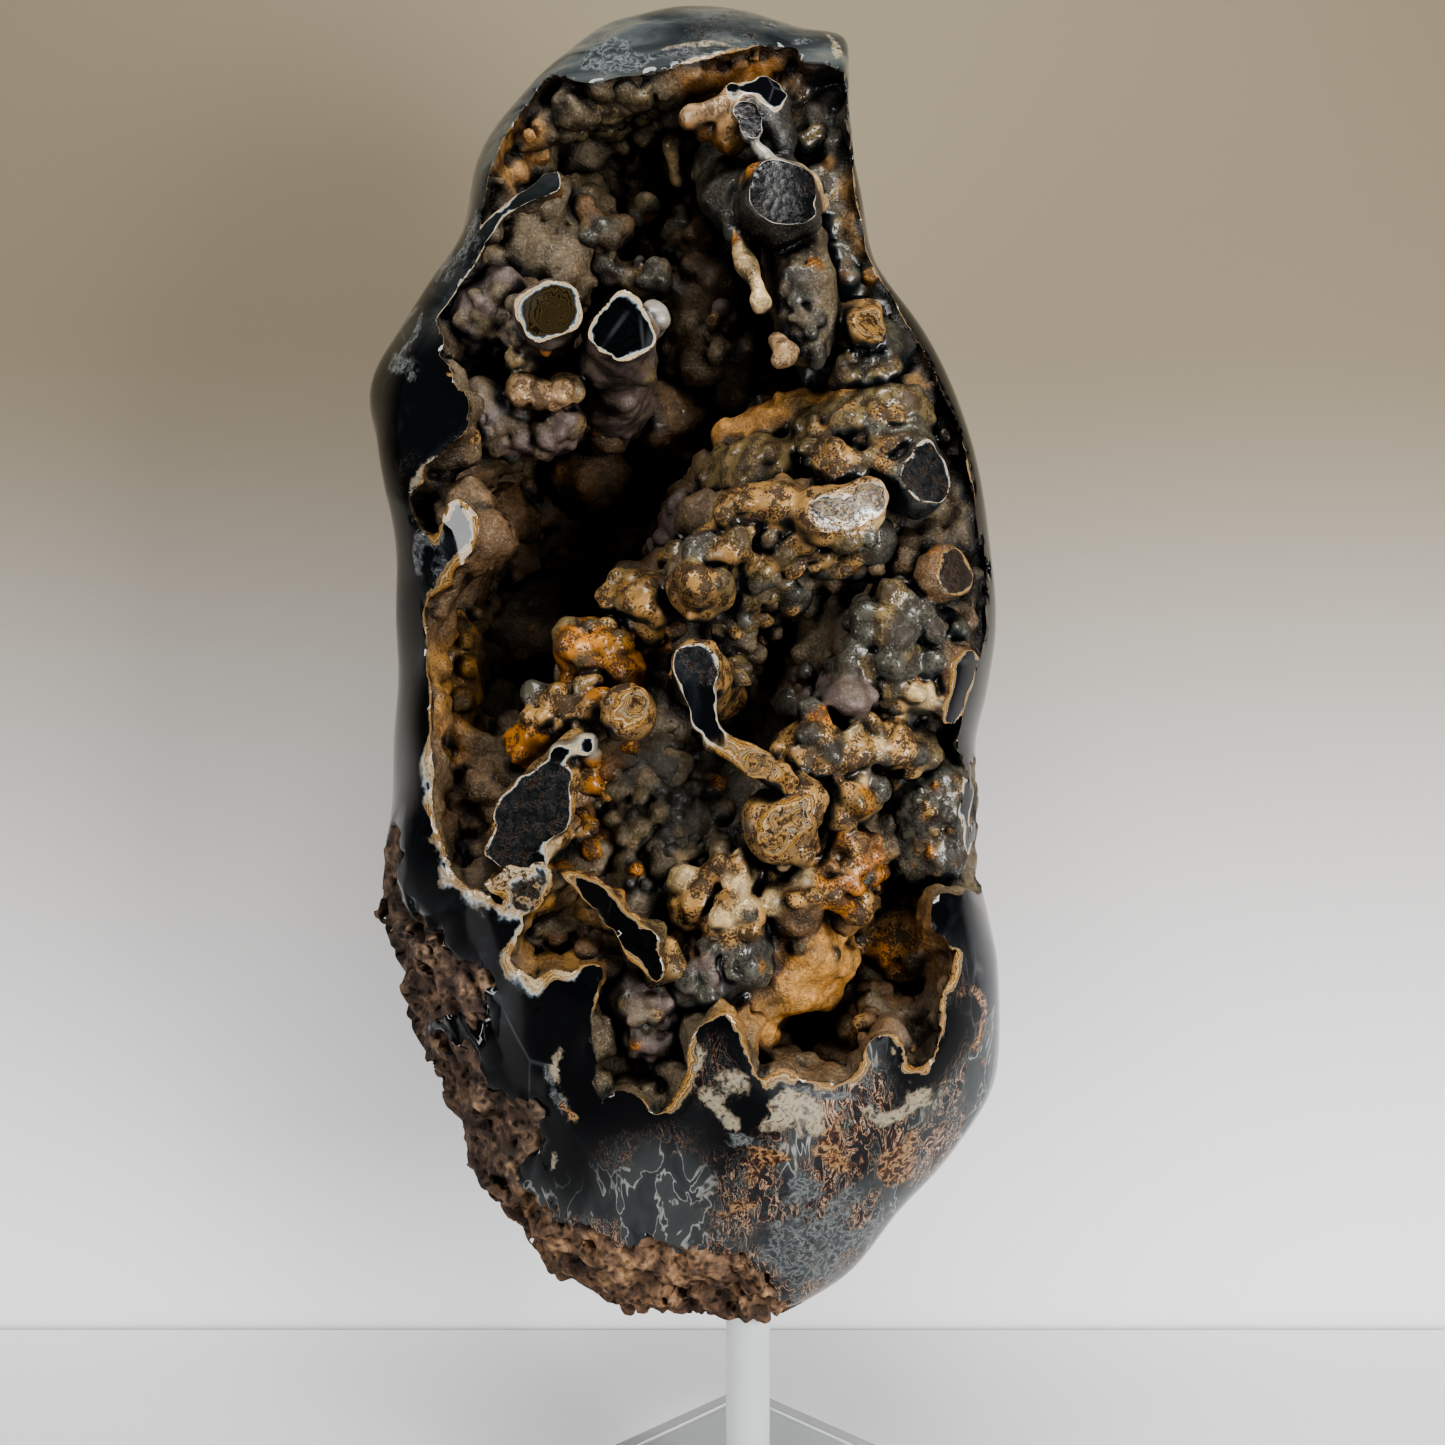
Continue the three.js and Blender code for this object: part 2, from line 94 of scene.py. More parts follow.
# The hollow's rim as it is seen
RIM_OUTLINE = [
    (705, 58), (738, 50), (768, 47), (796, 50), (806, 62), (838, 68), (846, 92), (846, 132),
    (853, 185), (868, 246), (884, 280), (918, 342), (950, 415), (972, 490), (987, 560), (989, 625),
    (978, 668), (966, 700), (962, 740), (968, 757), (992, 764), (1000, 800), (998, 850), (988, 884),
    (950, 892), (932, 900), (932, 925),
    (948, 948), (956, 952), (948, 978), (938, 1008), (936, 1042), (924, 1062), (909, 1068), (903, 1052),
    (892, 1034), (876, 1034), (866, 1046), (860, 1070), (842, 1085), (806, 1080), (782, 1076),
    (767, 1086), (755, 1074), (748, 1046), (737, 1026), (723, 1010), (704, 1024), (691, 1042),
    (688, 1070), (668, 1100), (655, 1112), (645, 1099), (627, 1089), (612, 1093), (602, 1102),
    (592, 1084), (595, 1062), (591, 1036), (596, 1004), (604, 976), (598, 966), (580, 966), (566, 974),
    (552, 971), (537, 981), (526, 977), (513, 961), (518, 945), (525, 926), (516, 914), (501, 909),
    (486, 893), (468, 883), (454, 875), (447, 854), (439, 822), (436, 772), (433, 720), (430, 660),
    (427, 622), (428, 603), (443, 587), (451, 574), (459, 560), (470, 549), (478, 535), (478, 519),
    (472, 506), (465, 497), (455, 498), (444, 505), (440, 518), (434, 532), (424, 530), (414, 512),
    (412, 496), (429, 488), (431, 478), (427, 472), (434, 465), (447, 454), (461, 438), (467, 423),
    (469, 402), (464, 390), (453, 382), (449, 367), (438, 354), (444, 344), (441, 330), (434, 318),
    (452, 290), (466, 266), (480, 242), (484, 214), (491, 178), (503, 149), (512, 130), (531, 104),
    (548, 84), (570, 81), (594, 81), (630, 75), (660, 68), (681, 63),
]
# The unpolished crust's inner edge as it is seen, closed outside the stone
CRUST_OUTLINE = [
    (392, 826), (404, 850), (411, 900), (434, 922), (448, 946), (472, 958), (500, 976), (492, 1012),
    (470, 1022), (432, 1026), (452, 1034), (470, 1047), (487, 1072), (502, 1093), (523, 1100),
    (541, 1107), (548, 1129), (538, 1150), (527, 1168), (534, 1193), (548, 1208), (573, 1222),
    (595, 1233), (613, 1243), (638, 1240), (666, 1243), (702, 1247), (730, 1254), (760, 1272),
    (786, 1300), (800, 1380), (600, 1390), (470, 1290), (380, 1150), (330, 1000), (330, 860),
]


@dataclass(frozen=True)
class Finish:
    """How the surface of a growth looks: its lit crown colour and shaded flank colour, which hold its own colours
    together with painted light and painted shade, and how pitted, glossy and sparkling it is, the sparkle with
    painted glints.
    """

    lit_crown: Colour
    shaded_flank: Colour
    pits: float = 0.4
    gloss: float = 0.4
    sparkle: float = 0.1


class Finishes(Enum):
    """The finishes that are seen on the stone's growths and walls."""

    # The first colour of each finish is for lit tops and the second for shaded sides and crevices: partly its own
    # colour, partly painted light and painted shade.
    TAN = Finish((0.38, 0.225, 0.088), (0.030, 0.034, 0.033), 1.0, 0.55, 0.0)
    ORANGE = Finish((0.45, 0.190, 0.038), (0.13, 0.052, 0.014), 0.9, 0.5, 0.0)
    PINK = Finish((0.44, 0.29, 0.16), (0.14, 0.09, 0.06), 0.7, 0.6, 0.0)
    CREAM = Finish((0.56, 0.41, 0.22), (0.13, 0.11, 0.08), 0.5, 0.6, 0.0)
    PALE = Finish((0.32, 0.30, 0.25), (0.11, 0.11, 0.105), 0.1, 0.7, 0.0)
    GREY = Finish((0.100, 0.096, 0.076), (0.017, 0.025, 0.031), 0.8, 0.6, 0.0)
    OLIVE = Finish((0.19, 0.140, 0.070), (0.026, 0.034, 0.037), 0.8, 0.7, 0.0)
    LILAC = Finish((0.16, 0.120, 0.105), (0.060, 0.046, 0.042), 0.2, 0.3, 0.5)
    DRUSE = Finish((0.150, 0.115, 0.070), (0.054, 0.040, 0.025), 0.3, 0.3, 1.0)
    BROWN = Finish((0.175, 0.100, 0.046), (0.062, 0.036, 0.018), 0.3, 0.3, 1.0)
    GOLD = Finish((0.42, 0.22, 0.060), (0.13, 0.062, 0.016), 0.7, 0.5, 0.3)
    AMBER = Finish((0.56, 0.30, 0.095), (0.42, 0.19, 0.050), 0.35, 0.4, 1.0)
    RED = Finish((0.46, 0.20, 0.068), (0.16, 0.065, 0.024), 0.8, 0.5, 0.0)
    BLACK = Finish((0.045, 0.043, 0.036), (0.010, 0.010, 0.011), 0.3, 0.6, 0.4)


@dataclass(frozen=True)
class Cut:
    """How a growth looks where it was cut through and polished.

    Its bands are this wide, as a share of the widest, and this golden. Its core has a colour, and
    may be rough with small crystals.
    """

    core: Colour
    band: float
    gold: float = 0.2
    rough: float = 0.0


class Cuts(Enum):
    """The polished sections that are seen."""

    GLASS = Cut((0.006, 0.007, 0.009), 0.30, 0.3)
    THIN = Cut((0.006, 0.007, 0.009), 0.30, 0.0)
    EDGE = Cut((0.006, 0.007, 0.009), 0.03, 0.8)
    GOLD_RIM = Cut((0.010, 0.011, 0.013), 0.8, 0.9)
    DRUSY = Cut((0.012, 0.012, 0.013), 0.34, 0.0, 0.8)
    RINGED = Cut((0.060, 0.042, 0.018), 0.85, 0.2)
    WHITE = Cut((0.004, 0.005, 0.006), 0.85, 0.1)
    GOLDEN = Cut((0.010, 0.012, 0.015), 1.7, 0.9)
    PITTED = Cut((0.34, 0.20, 0.07), 1.0, 0.8, 0.6)
    BAR = Cut((0.006, 0.006, 0.007), 0.5, 0.75)
    STAR = Cut((0.050, 0.035, 0.022), 2.4, 0.45, 0.6)
    CREAMY = Cut((0.24, 0.17, 0.09), 1.1, 0.5, 0.6)
    LACE = Cut((0.010, 0.012, 0.015), 2.6, 0.35)
    GREYISH = Cut((0.05, 0.055, 0.055), 0.25, 0.2)
    BROWNISH = Cut((0.05, 0.028, 0.014), 0.6, 0.8, 0.8)
    SOOTY = Cut((0.010, 0.010, 0.011), 0.10, 0.0, 0.35)


@dataclass(frozen=True)
class Growth:
    """A knob, ridge or stem, as balls of [across, down, depth, radius] that are run together.

    Across and down are pixels of the square picture, depth and radius are millimetres.
    """

    finish: Finishes
    chain: tuple[Spot, ...]
    cut: Cuts = Cuts.GLASS
    blend: float = 1.2


@dataclass(frozen=True)
class Ledge:
    """A slab under the polished outside that reaches over the hollow, drawn by its outline."""

    finish: Finishes
    cut: Cuts
    thickness: float
    outline: tuple[tuple[float, float], ...]


@dataclass(frozen=True)
class Packed:
    """An oval of the picture that is packed with small knobs of these finishes. Sizes are pixels."""

    finishes: tuple[Finishes, ...]
    across: float
    down: float
    wide: float
    high: float
    smallest: float
    largest: float

    def spots(self, rng: np.random.Generator) -> np.ndarray:
        """The knobs: a jittered grid of close rows, cut off at the oval.

        Args:
            rng: The source of the jitter and the sizes.

        Returns:
            Across, down and radius, one row each.
        """
        step = 0.7 * (self.smallest + self.largest)
        u, v = np.meshgrid(np.arange(-self.wide, self.wide, step),
                           np.arange(-self.high, self.high, 0.87 * step))
        u = u + 0.5 * step * (np.arange(len(u)) % 2)[:, None]
        u, v = (w.ravel() + rng.uniform(-0.35, 0.35, w.size) * step for w in (u, v))
        radius = self.smallest + (self.largest - self.smallest) * rng.uniform(size=u.size) ** 1.5
        inside = (u / self.wide) ** 2 + (v / self.high) ** 2 < 1
        return np.stack([self.across + u, self.down + v, radius], axis=1)[inside]


def knob(finish: Finishes, *chain: Spot, cut: Cuts = Cuts.GLASS, blend: float = 1.2) -> Growth:
    """A growth through these spots."""
    return Growth(finish, tuple(chain), cut, blend)


F = Finishes
C = Cuts
# The solid ground that the knobs stand on
MASSES = [
    knob(F.DRUSE, (900, 470, -4, 22), (880, 560, -8, 24), (880, 650, -12, 25), (842, 735, -8, 22)),
    knob(F.DRUSE, (790, 480, 2, 18), (735, 545, -2, 19), (690, 640, -6, 20), (640, 720, -10, 22)),
    knob(F.BROWN, (610, 780, -4, 22), (690, 850, -10, 24), (790, 850, -16, 25)),
    knob(F.TAN, (885, 925, -6, 14), (912, 980, -2, 13)),
    knob(F.BROWN, (520, 800, -8, 20), (560, 880, -14, 22), (600, 950, -16, 20)),
    knob(F.BROWN, (665, 665, -16, 13), (712, 600, -20, 14), (770, 550, -24, 15), (840, 530, -26, 14)),
    knob(F.TAN, (700, 930, -12, 18), (780, 920, -14, 18)),
    knob(F.DRUSE, (610, 1030, -20, 14), (640, 1060, -24, 13), (670, 1020, -22, 13)),
    knob(F.DRUSE, (620, 1000, -12, 16), (735, 1010, -10, 13)),
    knob(F.GREY, (820, 110, -2, 19), (835, 200, -2, 20), (850, 290, -4, 20), (890, 370, -6, 20)),
    knob(F.DRUSE, (440, 340, -6, 16), (480, 380, -8, 14), (540, 385, -6, 14), (600, 390, 2, 12)),
    knob(F.DRUSE, (590, 140, 26, 18), (630, 230, 24, 18), (670, 320, 22, 18), (745, 375, 18, 14)),
    knob(F.DRUSE, (690, 170, 14, 14), (706, 250, 10, 14), (712, 330, 6, 12)),
    knob(F.DRUSE, (560, 205, -14, 5), (528, 240, -10, 8), (494, 285, -4, 10), (456, 330, 0, 11)),
    knob(F.DRUSE, (585, 225, -8, 8), (545, 270, -6, 11), (500, 320, -4, 13)),
    knob(F.BROWN, (410, 560, -10, 12), (415, 640, -8, 12), (425, 740, -8, 14), (455, 830, -14, 14)),
]
LEDGES = [
    Ledge(F.DRUSE, C.THIN, 3.0, (
        (551, 174), (560, 190), (546, 196), (512, 212), (490, 236), (472, 264), (452, 294), (434, 322),
        (426, 318), (446, 286), (462, 258), (480, 230), (508, 203), (532, 188))),
    Ledge(F.GOLD, C.STAR, 9.0, (
        (484, 884), (500, 872), (510, 862), (526, 866), (540, 860), (552, 874), (548, 890), (540, 906),
        (528, 914), (514, 908), (500, 898))),
    Ledge(F.TAN, C.BAR, 7.0, (
        (556, 872), (578, 870), (596, 882), (624, 912), (650, 944), (666, 968), (660, 984), (648, 980),
        (632, 956), (606, 922), (580, 896))),
]
UPPER_GROWTHS = [
    knob(F.DRUSE, (690, 165, 4, 9)),
    knob(F.ORANGE, (643, 208, -8, 4.2)),
    knob(F.DRUSE, (600, 235, 6, 9)),
    knob(F.BROWN, (586, 208, -16, 3.4), (600, 240, -14, 3.8), (612, 272, -10, 3.0)),
    knob(F.OLIVE, (640, 280, -8, 5.4), (654, 279, -12, 4.6)),
    knob(F.OLIVE, (746, 374, -12, 5.6)),
    knob(F.DRUSE, (590, 130, 4, 10), (640, 118, 4, 9)),
    knob(F.DRUSE, (545, 120, -8, 8), (530, 160, -8, 7)),
    knob(F.DRUSE, (560, 245, -2, 8)),
    knob(F.CREAM, (672, 144, -12, 2.4), (680, 178, -8, 2.6)),
    knob(F.LILAC, (724, 314, -2, 5)),
    knob(F.PINK, (690, 122, -32, 2.6), (711, 110, -35, 2.8), (735, 98, -35, 3.0), (762, 92, -34, 3.6)),
    knob(F.GOLD, (706, 132, -30, 3.0), (728, 134, -31, 4.5), (742, 124, -32, 5.0)),
    knob(F.BLACK, (768, 116, -32, 6.6), (776, 136, -34, 5.6)),
    knob(F.PALE, (748, 108, -40, 3.0), (750, 130, -42, 2.8), cut=C.SOOTY),
    knob(F.PALE, (750, 138, -41, 1.6), (763, 153, -42, 1.7), (778, 165, -42, 2.0), (794, 172, -40, 2.4)),
    knob(F.CREAM, (794, 172, -40, 2.4), (808, 187, -36, 3.4), (817, 203, -31, 3.0)),
    knob(F.GREY, (722, 170, -8, 9), (734, 200, -22, 8), (742, 228, -24, 6)),
    knob(F.BLACK, (770, 190, -8, 12), (776, 200, -28, 10.5), (777, 206, -41, 10.5), cut=C.SOOTY),
    knob(F.DRUSE, (794, 246, -30, 8.5), (804, 300, -34, 9.0), (806, 336, -34, 7.5)),
    knob(F.CREAM, (739, 232, -38, 1.9), (750, 268, -41, 2.1), (762, 300, -43, 2.3)),
    knob(F.PINK, (775, 342, -40, 2.6), (786, 352, -43, 3.0)),
    knob(F.GREY, (835, 366, -16, 11), (866, 362, -22, 12), (890, 356, -18, 11), cut=C.GREYISH),
    knob(F.TAN, (858, 322, -30, 6.0), (867, 331, -38, 5.0), cut=C.PITTED),
    knob(F.GREY, (820, 84, -6, 8), (820, 120, -8, 8), (834, 104, -4, 6)),
    knob(F.GREY, (828, 200, -8, 8), (838, 250, -12, 7), (846, 290, -14, 7)),
    knob(F.GOLD, (846, 160, -2, 3.0), (856, 205, -4, 3.0), (866, 245, -6, 3.0)),
]
LEFT_SHELF = [
    knob(F.LILAC, (524, 356, -8, 11), (545, 322, -38, 8.5), (552, 308, -54, 7.4), cut=C.RINGED),
    knob(F.LILAC, (606, 400, 2, 13), (618, 352, -36, 9.0), (623, 330, -54, 8.0), cut=C.WHITE),
    knob(F.PALE, (630, 345, -34, 5), (655, 315, -42, 3.9)),
    knob(F.LILAC, (478, 312, -30, 7), (502, 300, -32, 7), (512, 330, -26, 8)),
    knob(F.CREAM, (520, 362, -32, 4.5)),
    knob(F.PINK, (522, 392, -34, 4.5), (545, 398, -34, 4)),
    knob(F.PINK, (562, 390, -34, 4.5)),
    knob(F.LILAC, (556, 428, -26, 7)),
    knob(F.LILAC, (480, 415, -26, 9), (520, 425, -22, 9)),
    knob(F.DRUSE, (470, 330, -20, 9), (510, 310, -22, 9), (540, 340, -26, 8)),
    knob(F.BROWN, (448, 545, -26, 8)),
    knob(F.GOLD, (448, 640, -12, 8), (448, 730, -14, 9), blend=3),
]
DEEP_KNOBS = [
    knob(F.DRUSE, (525, 630, 22, 17)),
    knob(F.BROWN, (590, 470, 20, 12)),
    knob(F.BROWN, (660, 420, 20, 14)),
    knob(F.BROWN, (500, 520, 22, 12)),
]
CENTRE_RIDGE = [
    knob(F.OLIVE, (730, 480, -14, 9), (765, 478, -22, 11), blend=3),
    knob(F.OLIVE, (830, 450, -22, 12), (880, 425, -28, 10), (905, 412, -30, 7), blend=3),
    knob(F.GREY, (895, 455, -28, 11), (917, 482, -40.5, 8.5), cut=C.DRUSY),
    knob(F.TAN, (845, 466, -38, 6)),
    knob(F.TAN, (712, 565, -40, 7), (742, 516, -42, 7), (778, 508, -44, 7), blend=2),
    knob(F.TAN, (820, 516, -49, 7), (842, 510, -50, 5.6), (866, 500, -49.4, 5.4), cut=C.CREAMY, blend=2),
    knob(F.CREAM, (842, 528, -48, 4), (868, 516, -47, 4)),
    knob(F.TAN, (700, 590, -42, 8)),
    knob(F.GREY, (757, 566, -36, 7)),
    knob(F.TAN, (800, 550, -38, 7)),
    knob(F.GREY, (785, 585, -28, 7)),
    knob(F.LILAC, (684, 520, -14, 7)),
    knob(F.TAN, (641, 600, -32, 8)),
    knob(F.ORANGE, (588, 652, -34, 8.5), (620, 674, -36, 7), blend=2),
    knob(F.TAN, (560, 716, -38, 8.5)),
    knob(F.TAN, (598, 712, -42, 7)),
    knob(F.TAN, (628, 712, -54, 7), cut=C.PITTED),
    knob(F.ORANGE, (535, 745, -34, 7.5)),
    knob(F.AMBER, (728, 442, -8, 5.5), (785, 418, -16, 5.5), (850, 402, -26, 5), blend=4),
    knob(F.TAN, (712, 690, -20, 9), (698, 668, -56, 6.4), cut=C.DRUSY),
    knob(F.PALE, (698, 686, -57.6, 4.0), (705, 716, -58.2, 2.6), (722, 746, -58, 2.1), cut=C.THIN),
    knob(F.TAN, (722, 746, -56.5, 3.4), (754, 764, -56.3, 3.3), (786, 784, -56, 3.6), cut=C.PITTED, blend=2),
]
RIGHT_CLUSTER = [
    knob(F.GREY, (880, 628, -36, 9)),
    knob(F.GREY, (916, 626, -34, 7)),
    knob(F.GREY, (896, 658, -36, 8)),
    knob(F.CREAM, (920, 696, -36, 5)),
    knob(F.LILAC, (852, 690, -34, 9)),
    knob(F.TAN, (888, 745, -36, 7)),
    knob(F.OLIVE, (915, 748, -30, 7)),
    knob(F.TAN, (855, 745, -38, 7)),
    knob(F.TAN, (815, 748, -40, 9), (800, 776, -42, 8), blend=3),
    knob(F.TAN, (848, 800, -38, 8)),
    knob(F.BROWN, (932, 580, -14, 8), (943, 575, -38, 7.4), cut=C.BROWNISH),
    knob(F.BROWN, (950, 682, -14, 8), (957, 668, -34, 6), (957, 698, -34, 6), cut=C.GOLD_RIM),
]
LOWER_CLUSTER = [
    knob(F.TAN, (795, 838, -20, 10), (778, 826, -52, 8), (802, 800, -52.5, 6.5), cut=C.PITTED, blend=3),
    knob(F.TAN, (735, 872, -44, 6)),
    knob(F.TAN, (700, 905, -40, 8)),
    knob(F.TAN, (732, 920, -44, 8.5)),
    knob(F.BROWN, (794, 902, -42, 8), cut=C.BROWNISH),
    knob(F.AMBER, (756, 950, -32, 9), (800, 944, -32, 9), (828, 955, -24, 8), blend=4),
    knob(F.AMBER, (748, 985, -32, 9), (750, 1030, -28, 7.5), blend=4),
    knob(F.AMBER, (785, 978, -30, 9.5), (814, 980, -22, 8), blend=4),
    knob(F.ORANGE, (835, 880, -40, 7)),
    knob(F.RED, (850, 850, -38, 7)),
    knob(F.TAN, (855, 905, -38, 5)),
    knob(F.GREY, (735, 955, -42, 10), (700, 985, -42, 8), cut=C.THIN),
    knob(F.DRUSE, (662, 792, -24, 8)),
    knob(F.DRUSE, (690, 818, -24, 8)),
    knob(F.DRUSE, (640, 830, -28, 8)),
    knob(F.DRUSE, (668, 862, -30, 8)),
    knob(F.DRUSE, (636, 895, -32, 9)),
]
LOWER_LEFT = [
    knob(F.TAN, (540, 830, -26, 10), (512, 842, -54, 6), (538, 806, -56, 8.4), (572, 754, -53, 4.4),
         cut=C.DRUSY),
    knob(F.CREAM, (541, 853, -53.5, 2.8), (550, 839, -54.5, 2.6), cut=C.WHITE),
    knob(F.PALE, (561, 753, -57.4, 2.9), (572, 749, -57.4, 2.2), (584, 745, -57.4, 2.9), cut=C.THIN),
    knob(F.DRUSE, (540, 930, -30, 10), (590, 950, -30, 10)),
    knob(F.LILAC, (640, 1000, -42, 8), (660, 1050, -36, 8)),
    knob(F.DRUSE, (850, 975, -8, 10), (905, 1035, -18, 9)),
]
WARTY_BALL = [knob(F.GREY, (900, 822, -12, 12), (925, 797, -21, 12.2), (925, 848, -21, 11.6))]

# Knobs that stand on whatever is seen at a pixel: across, down and radius in pixels
SMALL_KNOBS: dict[str, list[tuple[Finishes, tuple[tuple[float, float, float], ...]]]] = {
    "upper_growths": [
        (F.ORANGE, ((643, 206, 10),)),
        (F.LILAC, ((722, 312, 8), (733, 318, 8), (726, 328, 7), (712, 322, 8))),
        (F.GOLD, ((742, 374, 8), (661, 277, 8), (880, 290, 7), (868, 275, 6), (893, 304, 6))),
    ],
    "left_shelf": [
        (F.CREAM, ((516, 359, 12), (576, 392, 12))),
        (F.PINK, ((519, 398, 12), (541, 390, 11), (563, 392, 14), (538, 404, 9), (552, 402, 9))),
        (F.LILAC, ((563, 420, 14), (549, 437, 12), (580, 408, 9))),
        (F.RED, ((545, 350, 9),)),
        (F.GOLD, ((464, 668, 14), (458, 700, 14), (462, 640, 10))),
    ],
    "deep_knobs": [
        (F.GOLD, ((529, 491, 6), (558, 554, 6))),
    ],
    "centre_ridge": [
        (F.GREY, ((870, 541, 26), (792, 594, 20))),
        (F.TAN, ((915, 451, 9), (945, 437, 9), (952, 456, 8), (725, 520, 14), (742, 505, 12),
                 (801, 541, 18), (688, 575, 15))),
        (F.TAN, ((699, 587, 24), (750, 561, 14))),
        (F.LILAC, ((678, 505, 14), (684, 522, 12), (665, 538, 12), (656, 548, 9))),
        (F.TAN, ((641, 600, 22), (644, 628, 19), (612, 603, 12), (556, 700, 18), (574, 712, 16))),
        (F.ORANGE, ((575, 645, 20), (600, 642, 17), (590, 668, 15), (536, 736, 18), (524, 752, 13))),
    ],
    "right_cluster": [
        (F.GREY, ((899, 590, 16), (867, 614, 15), (897, 636, 22), (929, 630, 16), (890, 662, 18))),
        (F.ORANGE, ((925, 630, 6),)),
        (F.LILAC, ((847, 697, 24),)),
        (F.CREAM, ((915, 694, 13), (931, 706, 11), (900, 714, 11), (921, 716, 9))),
        (F.TAN, ((858, 748, 20), (899, 750, 17), (909, 769, 12), (847, 794, 17), (835, 815, 20))),
        (F.GOLD, ((850, 744, 5), (865, 759, 6))),
    ],
    "lower_cluster": [
        (F.TAN, ((727, 905, 16), (749, 925, 14), (739, 868, 14), (697, 905, 17), (769, 874, 16),
                 (801, 853, 14))),
        (F.CREAM, ((722, 916, 15), (738, 912, 11))),
        (F.RED, ((883, 828, 10), (853, 845, 12), (840, 842, 9), (862, 862, 11), (848, 866, 10),
                 (838, 882, 11), (870, 842, 9))),
        (F.ORANGE, ((856, 888, 10), (833, 898, 12), (820, 880, 10), (845, 905, 9))),
        (F.TAN, ((858, 913, 11), (812, 896, 10))),
        (F.PINK, ((695, 940, 8),)),
        (F.RED, ((694, 956, 7), (696, 966, 6))),
    ],
    "lower_left": [
        (F.ORANGE, ((591, 787, 14), (600, 806, 12))),
    ],
    "warty_ball": [
        (F.TAN, ((951, 792, 8), (930, 812, 7), (956, 812, 5), (934, 832, 6), (948, 830, 5), (918, 850, 5))),
    ],
}

PACKED = {
    "upper_growths": (
        Packed((F.DRUSE, F.OLIVE), 610, 112, 60, 36, 9, 15),
        Packed((F.DRUSE, F.GREY), 640, 240, 50, 50, 8, 13),
        Packed((F.GREY, F.DRUSE), 805, 290, 18, 46, 7, 11),
        Packed((F.OLIVE, F.GREY), 852, 362, 42, 22, 9, 14),
    ),
    "left_shelf": (
        Packed((F.LILAC, F.DRUSE), 490, 325, 44, 34, 8, 13),
        Packed((F.LILAC, F.DRUSE), 520, 432, 60, 20, 8, 12),
    ),
    "centre_ridge": (
        Packed((F.OLIVE, F.TAN, F.GREY), 860, 446, 66, 40, 9, 16),
        Packed((F.TAN, F.OLIVE, F.GREY), 735, 560, 70, 44, 10, 18),
        Packed((F.GREY, F.OLIVE, F.TAN), 845, 548, 60, 26, 9, 16),
        Packed((F.TAN, F.ORANGE, F.OLIVE), 620, 620, 60, 44, 10, 18),
        Packed((F.TAN, F.ORANGE, F.GREY), 590, 716, 76, 36, 10, 18),
        Packed((F.OLIVE, F.TAN), 740, 640, 26, 50, 9, 15),
    ),
    "right_cluster": (
        Packed((F.GREY, F.OLIVE, F.GREY), 895, 636, 58, 56, 11, 19),
        Packed((F.TAN, F.OLIVE, F.GREY), 866, 738, 62, 56, 11, 19),
        Packed((F.TAN, F.CREAM, F.ORANGE), 826, 770, 50, 50, 10, 17),
        Packed((F.LILAC, F.GREY), 830, 690, 44, 30, 10, 18),
    ),
    "lower_cluster": (
        Packed((F.DRUSE, F.BLACK), 666, 816, 64, 86, 10, 18),
        Packed((F.TAN, F.CREAM, F.CREAM), 742, 884, 66, 40, 11, 18),
        Packed((F.TAN, F.ORANGE, F.RED), 844, 866, 34, 58, 9, 15),
        Packed((F.GREY, F.LILAC), 706, 966, 28, 34, 9, 15),
    ),
    "lower_left": (
        Packed((F.ORANGE, F.TAN), 596, 800, 18, 56, 8, 14),
        Packed((F.DRUSE, F.BROWN), 565, 940, 40, 26, 8, 13),
        Packed((F.LILAC, F.GREY), 650, 1030, 24, 40, 8, 13),
        Packed((F.DRUSE, F.BROWN), 860, 1010, 56, 36, 9, 14),
    ),
}

SHOWN = (F.TAN, F.GREY)
# The finishes that a share of the beads have instead of their ground's
VARIETY = (F.TAN, F.OLIVE, F.GREY, F.OLIVE, F.ORANGE)
VARIED = 0.4

# Where the walls have these finishes: across, down and radius in pixels
WALL_PATCHES: list[tuple[Finishes, float, float, float]] = [
    (F.AMBER, 506, 150, 26), (F.AMBER, 740, 70, 32), (F.AMBER, 770, 74, 24), (F.GOLD, 858, 220, 22),
    (F.GREY, 830, 120, 40), (F.BROWN, 680, 250, 60), (F.BROWN, 600, 480, 90), (F.BROWN, 480, 560, 70),
    (F.BLACK, 668, 800, 56), (F.BLACK, 735, 800, 30), (F.BLACK, 700, 280, 40),
    (F.GOLD, 450, 650, 26), (F.GOLD, 450, 700, 26), (F.ORANGE, 446, 735, 14), (F.BROWN, 930, 600, 50),
    (F.ORANGE, 590, 787, 24), (F.BROWN, 470, 800, 40), (F.GOLD, 540, 930, 34), (F.GOLD, 590, 950, 24),
    (F.AMBER, 770, 975, 36), (F.AMBER, 750, 990, 34), (F.AMBER, 800, 950, 30), (F.AMBER, 892, 955, 36),
    (F.BROWN, 840, 1030, 50), (F.LILAC, 914, 1008, 24), (F.DRUSE, 640, 1040, 60), (F.GOLD, 930, 380, 26),
    (F.TAN, 880, 900, 40), (F.GOLD, 790, 430, 30),
]
